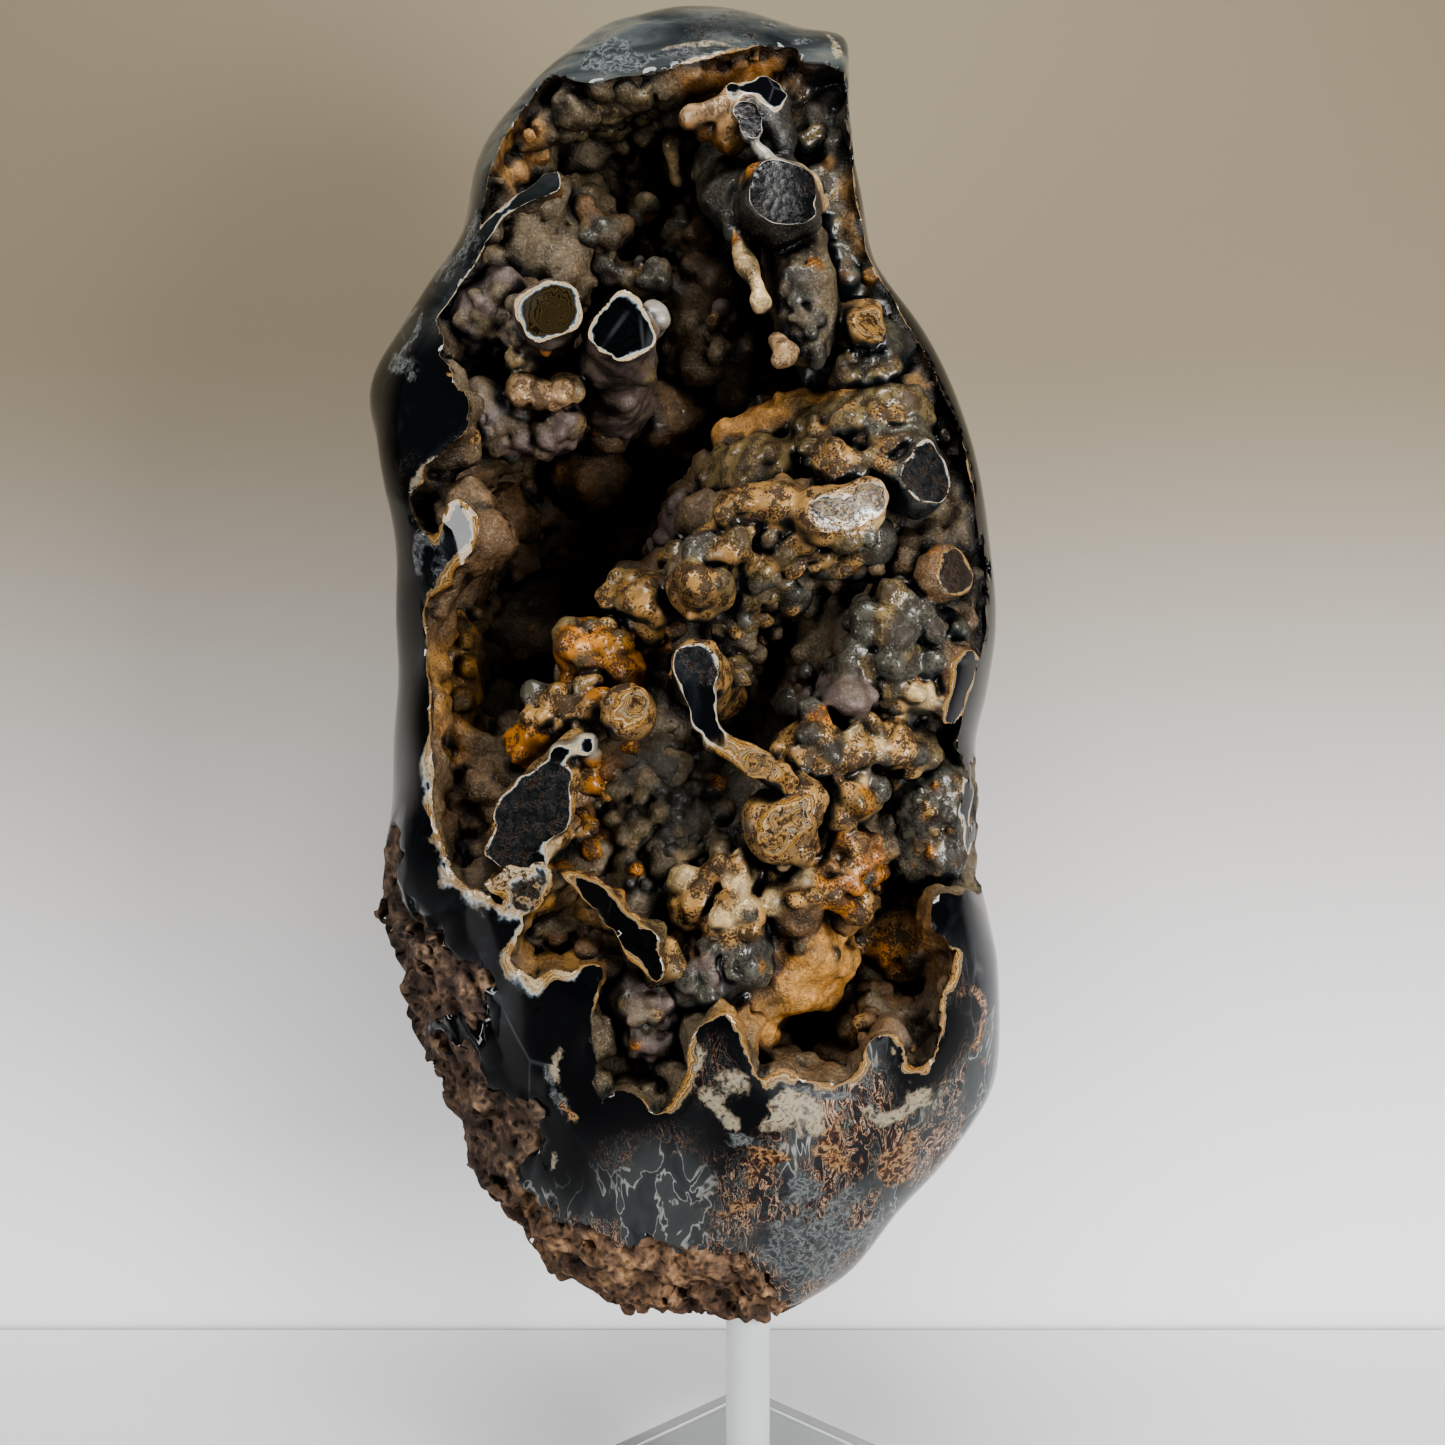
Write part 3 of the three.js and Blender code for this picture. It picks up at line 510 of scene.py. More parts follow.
# Where the hollow's polished rim has these sections: across, down and radius in pixels
RIM_PATCHES: list[tuple[Cuts, float, float, float]] = [
    (C.CREAMY, 730, 50, 24), (C.BAR, 500, 160, 24), (C.BAR, 855, 210, 34), (C.BAR, 890, 300, 24),
    (C.CREAMY, 424, 480, 12), (C.GOLD_RIM, 458, 380, 22), (C.GOLDEN, 474, 525, 30),
    (C.GOLDEN, 452, 575, 20), (C.BAR, 427, 640, 34), (C.BAR, 432, 720, 36), (C.LACE, 438, 800, 34),
    (C.LACE, 446, 860, 26), (C.LACE, 480, 890, 24), (C.LACE, 510, 920, 24), (C.LACE, 520, 970, 28),
    (C.LACE, 560, 975, 18),
    (C.GOLDEN, 704, 1028, 20), (C.GOLDEN, 680, 1090, 22), (C.GOLDEN, 745, 1050, 30),
    (C.GOLDEN, 790, 1080, 30), (C.GOLDEN, 845, 1080, 26), (C.GOLDEN, 895, 1045, 24),
    (C.GOLDEN, 930, 1055, 24), (C.GOLDEN, 945, 990, 22), (C.GOLD_RIM, 962, 690, 20), (C.BAR, 956, 450, 24),
]
# Where the polished outside is cream, golden brown or grey: across, down, half width, half height
PAINT: tuple[tuple[tuple[float, float, float, float], ...], ...] = (
    ((700, 47, 56, 9), (416, 470, 12, 20), (832, 50, 14, 10), (726, 1104, 18, 22), (568, 1076, 8, 26),
     (800, 1110, 44, 18), (900, 1104, 60, 14), (706, 1066, 6, 26), (548, 1160, 6, 16), (440, 848, 8, 24)),
    ((676, 1096, 12, 12), (760, 1160, 24, 16), (836, 1140, 40, 26), (900, 1160, 30, 26),
     (976, 1010, 12, 50), (740, 1210, 30, 24), (560, 1110, 8, 16), (452, 372, 10, 8)),
    ((640, 56, 70, 16), (770, 42, 40, 8), (600, 66, 40, 16), (450, 250, 26, 60), (404, 340, 14, 40),
     (820, 1240, 90, 60), (740, 1140, 30, 20), (560, 1095, 12, 30), (440, 560, 18, 30), (820, 1092, 60, 10)),
)


@dataclass(frozen=True)
class Viewpoint:
    """The place from which the stone was measured, and the camera that stands there."""

    eye: Colour = (-7.0, -408.0, 230.6)
    focal_pixels: float = 1480.0
    picture_pixels: float = 1445.0
    sensor_mm: float = 36.0

    def seen(self, across: np.ndarray, down: np.ndarray, depth: np.ndarray) -> np.ndarray:
        """The places seen at these pixels, at these depths behind the rod's axis.

        Args:
            across: Pixels from the picture's left edge.
            down: Pixels from its top edge.
            depth: Millimetres behind the rod's axis.

        Returns:
            An array of places in millimetres, one row each.
        """
        across, down, depth = np.broadcast_arrays(*(np.asarray(v, float) for v in (across, down, depth)))
        per_pixel = (depth - self.eye[1]) / self.focal_pixels
        middle = self.picture_pixels / 2
        return np.stack([
            self.eye[0] + (across - middle) * per_pixel,
            depth,
            self.eye[2] - (down - middle) * per_pixel,
        ], axis=-1)

    def pixels(self, places: np.ndarray) -> np.ndarray:
        """The pixels (across, down) at which these places are seen."""
        scale = self.focal_pixels / (places[:, 1] - self.eye[1])
        middle = self.picture_pixels / 2
        across = middle + (places[:, 0] - self.eye[0]) * scale
        down = middle - (places[:, 2] - self.eye[2]) * scale
        return np.stack([across, down], axis=1)

    def add_camera(self) -> bpy.types.Object:
        """Puts the camera at the eye, level, looking along +Y, and makes it the scene's."""
        data = bpy.data.cameras.new("camera")
        data.sensor_width = self.sensor_mm
        data.lens = self.focal_pixels / self.picture_pixels * self.sensor_mm
        data.clip_start = 0.01
        data.clip_end = 20.0
        camera = bpy.data.objects.new("camera", data)
        camera.location = Vector(self.eye) * MM
        camera.rotation_euler = (math.radians(90), 0, 0)
        bpy.context.scene.collection.objects.link(camera)
        bpy.context.scene.camera = camera
        return camera


VIEW = Viewpoint()


def smoothstep(value: np.ndarray, low: float, high: float) -> np.ndarray:
    """3t^2 - 2t^3, where t is the value's share of the way from low to high, kept in 0 to 1."""
    t = np.clip((value - low) / (high - low), 0, 1)
    return t * t * (3 - 2 * t)


def smooth_min(a: np.ndarray, b: np.ndarray, blend: float) -> np.ndarray:
    """The lower of a and b, less h^2 blend / 4 where h = max(blend - |a - b|, 0) / blend."""
    if blend <= 0:
        return np.minimum(a, b)
    h = np.maximum(blend - np.abs(a - b), 0) / blend
    return np.minimum(a, b) - h * h * (blend / 4)


def catmull_rom(points: np.ndarray, steps: int, closed: bool) -> np.ndarray:
    """A uniform Catmull-Rom curve through the points, with this many steps between two of them.

    Args:
        points: The points, one row each.
        steps: Samples to each span.
        closed: Whether the curve runs back to its first point.

    Returns:
        The samples, one row each.
    """
    if closed:
        p0, p1, p2, p3 = (np.roll(points, shift, axis=0) for shift in (1, 0, -1, -2))
    else:
        long = np.vstack([2 * points[0] - points[1], points, 2 * points[-1] - points[-2]])
        p0, p1, p2, p3 = long[:-3], long[1:-2], long[2:-1], long[3:]
    v1, v2 = (p2 - p0) / 2, (p3 - p1) / 2
    t = (np.arange(steps) / steps)[None, :, None]
    p1, p2, v1, v2 = (a[:, None, :] for a in (p1, p2, v1, v2))
    curve = p1 + v1 * t + (3 * (p2 - p1) - 2 * v1 - v2) * t**2 + (2 * (p1 - p2) + v1 + v2) * t**3
    curve = curve.reshape(-1, points.shape[1])
    return curve if closed else np.vstack([curve, points[-1]])


@dataclass(frozen=True)
class Ripples:
    """Smooth bumps: sines of one wavelength in random directions, added up."""

    length: float
    height: float
    seed: int
    waves: int = 9

    def at(self, places: np.ndarray) -> np.ndarray:
        """height * sqrt(2 / waves) * the sum of sin(2 pi / length * direction . place + phase)."""
        rng = np.random.default_rng(self.seed)
        direction = rng.normal(size=(3, self.waves))
        direction *= 2 * math.pi / self.length / np.linalg.norm(direction, axis=0)
        phase = rng.uniform(0, 2 * math.pi, self.waves)
        total = np.sin(places @ direction + phase).sum(axis=1)
        return self.height * math.sqrt(2 / self.waves) * total


class Outline:
    """A closed outline in the front plane, as a radius by angle and as a signed distance."""

    def __init__(self, places: np.ndarray, centre: np.ndarray, raster: float = 1.0) -> None:
        """Samples the outline and lays out its distances.

        Args:
            places: The outline's points in millimetres.
            centre: The place from which its radius is measured.
            raster: The spacing of the stored distances.
        """
        self.centre = np.array([centre[0], centre[2]])
        self.line = catmull_rom(np.stack([places[:, 0], places[:, 2]], axis=1), 8, closed=True)
        across = self.line[:, 0] - self.centre[0]
        up = (self.line[:, 1] - self.centre[1]) / SQUASH
        order = np.argsort(np.arctan2(up, across))
        self.angles = np.arctan2(up, across)[order]
        self.radii = np.hypot(across, up)[order]
        self._lay_out(raster)

    def radius(self, angle: np.ndarray) -> np.ndarray:
        """The outline's radius at these angles, in the squashed frame."""
        return np.interp(angle, self.angles, self.radii, period=2 * math.pi)

    def share(self, x: np.ndarray, z: np.ndarray) -> np.ndarray:
        """How far from the centre towards the outline a place is, from 0 to 1 and beyond."""
        across = x - self.centre[0]
        up = (z - self.centre[1]) / SQUASH
        return np.hypot(across, up) / self.radius(np.arctan2(up, across))

    def _lay_out(self, raster: float) -> None:
        """Stores the signed distance to the outline on a raster, below zero inside it."""
        self.raster = raster
        self.low = self.line.min(0) - 30
        count = np.ceil((self.line.max(0) + 30 - self.low) / raster).astype(int) + 1
        x = self.low[0] + raster * np.arange(count[0])
        z = self.low[1] + raster * np.arange(count[1])
        p = np.stack(np.meshgrid(x, z, indexing="ij"), axis=-1).reshape(-1, 1, 2)
        nearest = np.full(len(p), np.inf)
        crossings = np.zeros(len(p), int)
        ends = np.roll(self.line, -1, axis=0)
        for start, end in zip(np.array_split(self.line, 12), np.array_split(ends, 12)):
            along = end - start
            t = ((p - start) * along).sum(-1) / np.maximum((along**2).sum(-1), 1e-9)
            gap = p - (start + np.clip(t, 0, 1)[..., None] * along)
            nearest = np.minimum(nearest, np.sqrt((gap**2).sum(-1)).min(1))
            spans = (start[:, 1] > p[..., 1]) != (end[:, 1] > p[..., 1])
            rise = np.where(np.abs(along[:, 1]) < 1e-9, 1e-9, along[:, 1])
            reach = start[:, 0] + (p[..., 1] - start[:, 1]) / rise * along[:, 0]
            crossings += (spans & (p[..., 0] < reach)).sum(1)
        self.distances = np.where(crossings % 2 == 1, -nearest, nearest).reshape(count)

    def distance(self, x: np.ndarray, z: np.ndarray) -> np.ndarray:
        """The signed distance to the outline at these places, between the stored ones."""
        i = np.clip((x - self.low[0]) / self.raster, 0, self.distances.shape[0] - 1.001)
        k = np.clip((z - self.low[1]) / self.raster, 0, self.distances.shape[1] - 1.001)
        i0, k0 = i.astype(int), k.astype(int)
        u, w = i - i0, k - k0
        d = self.distances
        low = d[i0, k0] * (1 - u) + d[i0 + 1, k0] * u
        high = d[i0, k0 + 1] * (1 - u) + d[i0 + 1, k0 + 1] * u
        return low * (1 - w) + high * w


class Envelope:
    """The stone's ground and polished outside: a superellipse of depth over its front outline.

    (distance / radius)^fullness + (depth / reach)^fullness = 1, where the outline's corners fade
    with depth into its mean over a part of a turn, and its dents stay.
    """

    FADE = np.arange(-0.75, 0.751, 0.25)

    def __init__(self) -> None:
        """Takes the outline from the picture at the rod's depth, and lays out its crust."""
        points = np.array(STONE_OUTLINE, float)
        middle = VIEW.seen(*STONE_MIDDLE, 0)
        widest = middle + (VIEW.seen(points[:, 0], points[:, 1], 0) - middle) * EDGE_SHARE
        self.outline = Outline(widest, middle)
        self.crust = Outline(self.on_front(CRUST_OUTLINE), middle)

    def on_front(self, points: list[tuple[float, float]]) -> np.ndarray:
        """The places on the stone's rounded front that are seen at these pixels.

        Args:
            points: Pixels across and down.

        Returns:
            The places, one row each. Beside the stone they lie at the rod's depth.
        """
        points = np.array(points, float)
        depth = np.arange(-STONE_FRONT - 2, 0.5, 0.5)
        rays = VIEW.seen(points[:, :1], points[:, 1:], depth[None, :])
        inside = self.level(*np.moveaxis(rays, 2, 0)) < 1
        first = np.where(inside.any(axis=1), inside.argmax(axis=1), len(depth) - 1)
        return rays[np.arange(len(points)), first]

    def level(self, x: np.ndarray, y: np.ndarray, z: np.ndarray) -> np.ndarray:
        """The superellipse's left side to the power 1 / fullness: 1 on the surface, less inside."""
        across = x - self.outline.centre[0]
        up = (z - self.outline.centre[1]) / SQUASH
        angle = np.arctan2(up, across)
        mean = sum(self.outline.radius(angle + turn) for turn in self.FADE) / len(self.FADE)
        share = np.abs(y) / np.where(y < 0, STONE_FRONT, STONE_BACK)
        fade = smoothstep(np.minimum(share, 1) ** (STONE_FULLNESS / 2), 0.1, 0.8)
        radius = self.outline.radius(angle)
        radius = radius * (1 - fade) + np.minimum(mean, radius) * fade
        away = np.hypot(across, up) / radius
        return (away**STONE_FULLNESS + share**STONE_FULLNESS) ** (1 / STONE_FULLNESS)

    def slope(self, places: np.ndarray, step: float = 0.05) -> tuple[np.ndarray, np.ndarray]:
        """The level and its gradient at some places.

        Args:
            places: The places, one row each.
            step: Half the distance over which the gradient is taken.

        Returns:
            The levels, and the gradients, one row each.
        """
        axes = np.eye(3) * step
        sides = [self.level(*(places + a).T) - self.level(*(places - a).T) for a in axes]
        return self.level(*places.T), np.stack(sides, axis=1) / (2 * step)

    def distance(self, places: np.ndarray) -> tuple[np.ndarray, np.ndarray]:
        """The distance to the polished or crusted outside, and its gradient.

        Args:
            places: The places, one row each.

        Returns:
            The signed distances, below zero inside, and the outward unit vectors.
        """
        level, slope = self.slope(places)
        steep = np.maximum(np.linalg.norm(slope, axis=1), 1e-4)
        distance = (level - 1) / steep - self.crust_height(places)
        return distance, slope / steep[:, None]

    def crust_share(self, places: np.ndarray) -> np.ndarray:
        """How unpolished the outside is: 1 inside the crust's outline, 0 beyond it."""
        inside = -self.crust.distance(places[:, 0], places[:, 2])
        ragged = Ripples(13, 1.2, 4).at(places) + Ripples(5, 0.9, 5).at(places)
        return smoothstep(inside + ragged, 0, 2.5)

    def crust_height(self, places: np.ndarray) -> np.ndarray:
        """The outside's relief: soft undulations, and the crust's ripples and pits by its share."""
        share = self.crust_share(places)
        height = Ripples(64, 1.1, 15).at(places) + Ripples(27, 0.3, 16).at(places)
        on = share > 0
        if on.any():
            p = places[on]
            pits = np.maximum(Ripples(7, 1.5, 13).at(p), 0.2) + np.maximum(Ripples(3.4, 1.0, 14).at(p), 0)
            rough = Ripples(17, 1.0, 11).at(p) + Ripples(8, 0.8, 12).at(p) - pits - 0.4
            height[on] += rough * share[on]
        return height

    def on_block(self, block: "Block") -> np.ndarray:
        """The signed distance on a block's corners, without the crust.

        Args:
            block: The block.

        Returns:
            An array of the block's shape.
        """
        level = self.level(*block.axes()).astype(np.float32)
        steep = np.sqrt(sum(g * g for g in np.gradient(level, block.pitch)))
        return np.clip((level - 1) / np.maximum(steep, 2e-3), -FAR, FAR).astype(np.float32)


class Hollow:
    """What was dissolved away: an outline along the depth, with a bowl for its back.

    The bowl's depth is rim + (bottom - rim) (1 - share^fullness)^(1 / fullness). Its rim lies a
    step behind the stone's front where that is further back than the rim's own depth.
    """

    def __init__(self, envelope: Envelope) -> None:
        """Sets the rim where the stone's front is seen at the outline's pixels."""
        centre = VIEW.seen(*HOLLOW_CENTRE, HOLLOW_RIM_DEPTH)
        self.front = envelope.outline
        self.rim = Outline(envelope.on_front(RIM_OUTLINE), centre)
        self.bowl = Outline(envelope.on_front(BOWL_OUTLINE), centre)

    def on_block(self, block: "Block") -> np.ndarray:
        """How deep in the stone's solid the block's corners are: below zero in the solid.

        Args:
            block: The block.

        Returns:
            The lower of minus the distance to the outline and the distance to the bowl, which is
            its depth beyond the corner over the root of 1 + slope^2.
        """
        x, y, z = block.axes()
        share = np.minimum(self.bowl.share(x, z), 1)
        bowl = (1 - share**HOLLOW_FULLNESS) ** (1 / HOLLOW_FULLNESS)
        across = np.minimum(self.front.share(x, z), 1)
        front = -STONE_FRONT * (1 - across**STONE_FULLNESS) ** (1 / STONE_FULLNESS)
        rim = np.maximum(HOLLOW_RIM_DEPTH, front + EDGE_DEPTH)
        depth = rim + (HOLLOW_DEPTH - rim) * bowl
        slopes = np.gradient(depth[:, 0, :], block.pitch)
        norm = np.sqrt(1 + slopes[0] ** 2 + slopes[1] ** 2)[:, None, :]
        side = -self.rim.distance(x, z)
        back = (depth - y) / norm
        return smooth_min(side, back, 2.0).astype(np.float32)


class Block:
    """A box of space with a distance and an owner at each corner of its cells."""

    def __init__(self, low: np.ndarray, high: np.ndarray, pitch: float) -> None:
        """Lays the cells out.

        Args:
            low: The box's lowest corner.
            high: Its highest corner.
            pitch: The side of a cell.
        """
        self.low = np.asarray(low, float)
        self.pitch = pitch
        self.shape = tuple(np.ceil((np.asarray(high) - self.low) / pitch).astype(int) + 1)
        self.solid = np.full(self.shape, FAR, np.float32)
        self.owner = np.zeros(self.shape, np.int16)

    def axes(self, low: np.ndarray | None = None, high: np.ndarray | None = None) -> list[np.ndarray]:
        """The corners' x, y and z as three arrays that spread over each other.

        Args:
            low: The first corner's indices, or None for the block's first.
            high: The indices past the last corner, or None for the block's last.

        Returns:
            Three arrays of three dimensions.
        """
        low = np.zeros(3, int) if low is None else low
        high = np.array(self.shape) if high is None else high
        made = []
        for axis in range(3):
            line = self.low[axis] + self.pitch * np.arange(low[axis], high[axis])
            made.append(line.reshape([-1 if a == axis else 1 for a in range(3)]).astype(np.float32))
        return made

    def add_length(self, a: np.ndarray, b: np.ndarray, ra: float, rb: float, blend: float,
                   owner: int) -> None:
        """Joins a length of stem to the solid: |p - q| - r, q the nearest place of its axis.

        Args:
            a: The middle of the ball at one end.
            b: The middle of the ball at the other end.
            ra: The radius at a.
            rb: The radius at b.
            blend: The width of the fillet to what is there.
            owner: The number that says whose surface it is.
        """
        reach = max(ra, rb) + blend + 3 * self.pitch
        low = np.floor((np.minimum(a, b) - reach - self.low) / self.pitch).astype(int)
        high = np.ceil((np.maximum(a, b) + reach - self.low) / self.pitch).astype(int) + 1
        low, high = np.maximum(low, 0), np.minimum(high, self.shape)
        if (high <= low).any():
            return
        x, y, z = self.axes(low, high)
        x, y, z = x - a[0], y - a[1], z - a[2]
        along = b - a
        length = float(along @ along)
        if length > 1e-6:
            t = np.clip((x * along[0] + y * along[1] + z * along[2]) / length, 0, 1)
            x, y, z = x - t * along[0], y - t * along[1], z - t * along[2]
        else:
            t = 0.0
        distance = np.sqrt(x * x + y * y + z * z) - (ra + (rb - ra) * t)
        box = tuple(slice(lo, hi) for lo, hi in zip(low, high))
        there = self.solid[box]
        self.owner[box] = np.where(distance < there, owner, self.owner[box])
        self.solid[box] = smooth_min(there, distance, blend)

    def add_growth(self, growth: Growth, owner: int) -> None:
        """Joins a growth to the solid, with its own fillet."""
        chain = np.array(growth.chain, float)
        places = VIEW.seen(chain[:, 0], chain[:, 1], chain[:, 2])
        radii = chain[:, 3]
        if len(places) == 1:
            self.add_length(places[0], places[0], radii[0], radii[0], growth.blend, owner)
        for i in range(len(places) - 1):
            self.add_length(places[i], places[i + 1], radii[i], radii[i + 1], growth.blend, owner)

    def sample(self, field_of: np.ndarray, places: np.ndarray) -> np.ndarray:
        """The field between its corners: the mean of a cell's eight, weighted by nearness.

        Args:
            field_of: An array of the block's shape.
            places: The places, one row each.

        Returns:
            One value for each place.
        """
        index = (places - self.low) / self.pitch
        index = np.clip(index, 0, np.array(self.shape) - 1.001)
        whole = index.astype(int)
        u, v, w = (index - whole).T
        i, j, k = whole.T
        total = np.zeros(len(places))
        for di, wi in ((0, 1 - u), (1, u)):
            for dj, wj in ((0, 1 - v), (1, v)):
                for dk, wk in ((0, 1 - w), (1, w)):
                    total += wi * wj * wk * field_of[i + di, j + dj, k + dk]
        return total

    def slope(self, field_of: np.ndarray, places: np.ndarray) -> tuple[np.ndarray, np.ndarray]:
        """The field and its gradient at some places.

        Args:
            field_of: An array of the block's shape.
            places: The places, one row each.

        Returns:
            The values, and the gradients, one row each.
        """
        step = 0.5 * self.pitch
        sides = [self.sample(field_of, places + a) - self.sample(field_of, places - a)
                 for a in np.eye(3) * step]
        return self.sample(field_of, places), np.stack(sides, axis=1) / (2 * step)

    def nearest(self, field_of: np.ndarray, places: np.ndarray) -> np.ndarray:
        """The field at the corner nearest to each place."""
        index = np.rint((places - self.low) / self.pitch).astype(int)
        i, j, k = np.clip(index, 0, np.array(self.shape) - 1).T
        return field_of[i, j, k]

    def band(self, field_of: np.ndarray, width: float) -> tuple[np.ndarray, np.ndarray]:
        """The corners within this distance of the field's zero.

        Args:
            field_of: An array of the block's shape.
            width: The distance.

        Returns:
            The corners' flat indices, and their places.
        """
        flat = np.flatnonzero(np.abs(field_of.ravel()) < width)
        index = np.stack(np.unravel_index(flat, self.shape), axis=1)
        return flat, self.low + index * self.pitch


CORNERS = np.array([(i, j, k) for i in (0, 1) for j in (0, 1) for k in (0, 1)])
EDGES = [(a, b) for a in range(8) for b in range(a + 1, 8) if abs(CORNERS[a] - CORNERS[b]).sum() == 1]


@dataclass
class Skin:
    """A closed surface as arrays: points in millimetres and four-sided faces."""

    points: np.ndarray
    faces: np.ndarray

    @classmethod
    def around(cls, block: Block, solid: np.ndarray) -> "Skin":
        """The surface where the field is zero, by the surface nets method.

        Each cell that the surface crosses gets one point, the mean of the crossings on its edges.
        Each edge of the grid that it crosses gets a face through the four cells round the edge.

        Args:
            block: The block whose corners the field belongs to.
            solid: The field, below zero inside.

        Returns:
            The surface.
        """
        inside = solid < 0
        filled = np.zeros(tuple(n - 1 for n in block.shape), np.uint8)
        for i, j, k in CORNERS:
            filled += inside[tuple(slice(o, n - 1 + o) for o, n in zip((i, j, k), block.shape))]
        cells = np.flatnonzero((filled.ravel() > 0) & (filled.ravel() < 8))
        number = np.full(filled.size, -1, np.int32)
        number[cells] = np.arange(len(cells))
        number = number.reshape(filled.shape)
        index = np.stack(np.unravel_index(cells, filled.shape), axis=1)
        values = [solid[tuple((index + corner).T)] for corner in CORNERS]
        total = np.zeros((len(cells), 3))
        count = np.zeros(len(cells))
        for a, b in EDGES:
            crossed = (values[a] < 0) != (values[b] < 0)
            span = np.where(crossed, values[a] - values[b], 1)
            t = np.where(crossed, values[a] / span, 0)[:, None]
            total += np.where(crossed[:, None], CORNERS[a] + t * (CORNERS[b] - CORNERS[a]), 0)
            count += crossed
        points = block.low + block.pitch * (index + total / count[:, None])
        faces = [cls._faces_across(inside, number, axis) for axis in range(3)]
        return cls(points, np.concatenate(faces))

    @staticmethod
    def _faces_across(inside: np.ndarray, number: np.ndarray, axis: int) -> np.ndarray:
        """The faces round the grid's edges along one axis, turned to face out of the solid."""
        first = [slice(1, -1)] * 3
        second = [slice(1, -1)] * 3
        first[axis], second[axis] = slice(0, -1), slice(1, None)
        a, b = inside[tuple(first)], inside[tuple(second)]
        index = np.stack(np.nonzero(a != b), axis=1)
        outward = a[tuple(index.T)]
        index += 1
        index[:, axis] -= 1
        u, v = np.eye(3, dtype=int)[(axis + 1) % 3], np.eye(3, dtype=int)[(axis + 2) % 3]
        round_edge = [number[tuple((index - shift).T)] for shift in (u + v, v, 0 * u, u)]
        faces = np.stack(round_edge, axis=1)
        faces[~outward] = faces[~outward][:, ::-1]
        return faces

    def settle(self, block: Block, growth: np.ndarray, envelope: Envelope, inset: float,
               rounds: int = 3) -> None:
        """Moves the points onto the surface, and those near its sharp rim onto the rim.

        A point takes the shortest step that brings the further of the two distances to zero, or
        both of them near the rim, by their gradients.

        Args:
            block: The block that the growth field belongs to.
            growth: The distance to what grew, below zero inside.
            envelope: The stone's outside.
            inset: How far inside the outside the cut is.
            rounds: How many steps are taken.
        """
        near = 0.5 * block.pitch
        for _ in range(rounds):
            a, ga = envelope.distance(self.points)
            a = a + inset
            b, gb = block.slope(growth, self.points)
            aa, bb, ab = (ga * ga).sum(1), (gb * gb).sum(1), (ga * gb).sum(1)
            cross = aa * bb - ab * ab
            both = (np.abs(a) < near) & (np.abs(b) < near) & (cross > 0.15 * aa * bb)
            safe = np.where(both, cross, 1)
            to_rim = -(((bb * a - ab * b) / safe)[:, None] * ga + ((aa * b - ab * a) / safe)[:, None] * gb)
            to_cut = -(a / np.maximum(aa, 1e-3))[:, None] * ga
            to_growth = -(b / np.maximum(bb, 1e-3))[:, None] * gb
            step = np.where(both[:, None], to_rim, np.where((a > b)[:, None], to_cut, to_growth))
            length = np.linalg.norm(step, axis=1)
            step *= (np.minimum(length, near) / np.maximum(length, 1e-9))[:, None]
            self.points = self.points + step

    def normals(self) -> np.ndarray:
        """The points' outward unit vectors, from the diagonals of the faces round them."""
        corner = self.points[self.faces]
        across = np.cross(corner[:, 2] - corner[:, 0], corner[:, 3] - corner[:, 1])
        total = np.stack([
            sum(np.bincount(self.faces[:, c], across[:, axis], len(self.points)) for c in range(4))
            for axis in range(3)], axis=1)
        return total / np.maximum(np.linalg.norm(total, axis=1), 1e-9)[:, None]

    def smoothed(self, values: np.ndarray, rounds: int) -> np.ndarray:
        """The values after each has been averaged with its neighbours' this many times."""
        a = self.faces.ravel()
        b = np.roll(self.faces, -1, axis=1).ravel()
        share = np.bincount(a, minlength=len(self.points)) + 1.0
        flat = values.reshape(len(values), -1).astype(float)
        for _ in range(rounds):
            sums = [np.bincount(a, flat[b, c], len(flat)) for c in range(flat.shape[1])]
            flat = (flat + np.stack(sums, axis=1)) / share[:, None]
        return flat.reshape(values.shape)

    def without_crumbs(self, rooted: np.ndarray) -> "Skin":
        """The surface without the pieces of it that hold none of the rooted points.

        Args:
            rooted: Whether each point is known to belong to the stone.

        Returns:
            A surface of the pieces that are kept.
        """
        a = self.faces.ravel()
        b = np.roll(self.faces, -1, axis=1).ravel()
        label = np.arange(len(self.points))
        while True:
            low = np.minimum(label[a], label[b])
            new = label.copy()
            np.minimum.at(new, a, low)
            np.minimum.at(new, b, low)
            new = new[new]
            if (new == label).all():
                break
            label = new
        good = np.zeros(len(label), bool)
        good[label[rooted]] = True
        keep = good[label]
        number = np.cumsum(keep) - 1
        return Skin(self.points[keep], number[self.faces[keep[self.faces[:, 0]]]])

    def to_object(self, name: str, crease: float = 50.0) -> bpy.types.Object:
        """A smooth-shaded mesh object in metres, with sharp edges past this angle in degrees."""
        mesh = bpy.data.meshes.new(name)
        mesh.vertices.add(len(self.points))
        mesh.vertices.foreach_set("co", (self.points * MM).astype(np.float32).ravel())
        mesh.loops.add(self.faces.size)
        mesh.loops.foreach_set("vertex_index", self.faces.astype(np.int32).ravel())
        mesh.polygons.add(len(self.faces))
        size = self.faces.shape[1]
        mesh.polygons.foreach_set("loop_start", np.arange(0, self.faces.size, size, dtype=np.int32))
        mesh.polygons.foreach_set("use_smooth", np.ones(len(self.faces), bool))
        mesh.update(calc_edges=True)
        mesh.set_sharp_from_angle(angle=math.radians(crease))
        made = bpy.data.objects.new(name, mesh)
        bpy.context.scene.collection.objects.link(made)
        return made


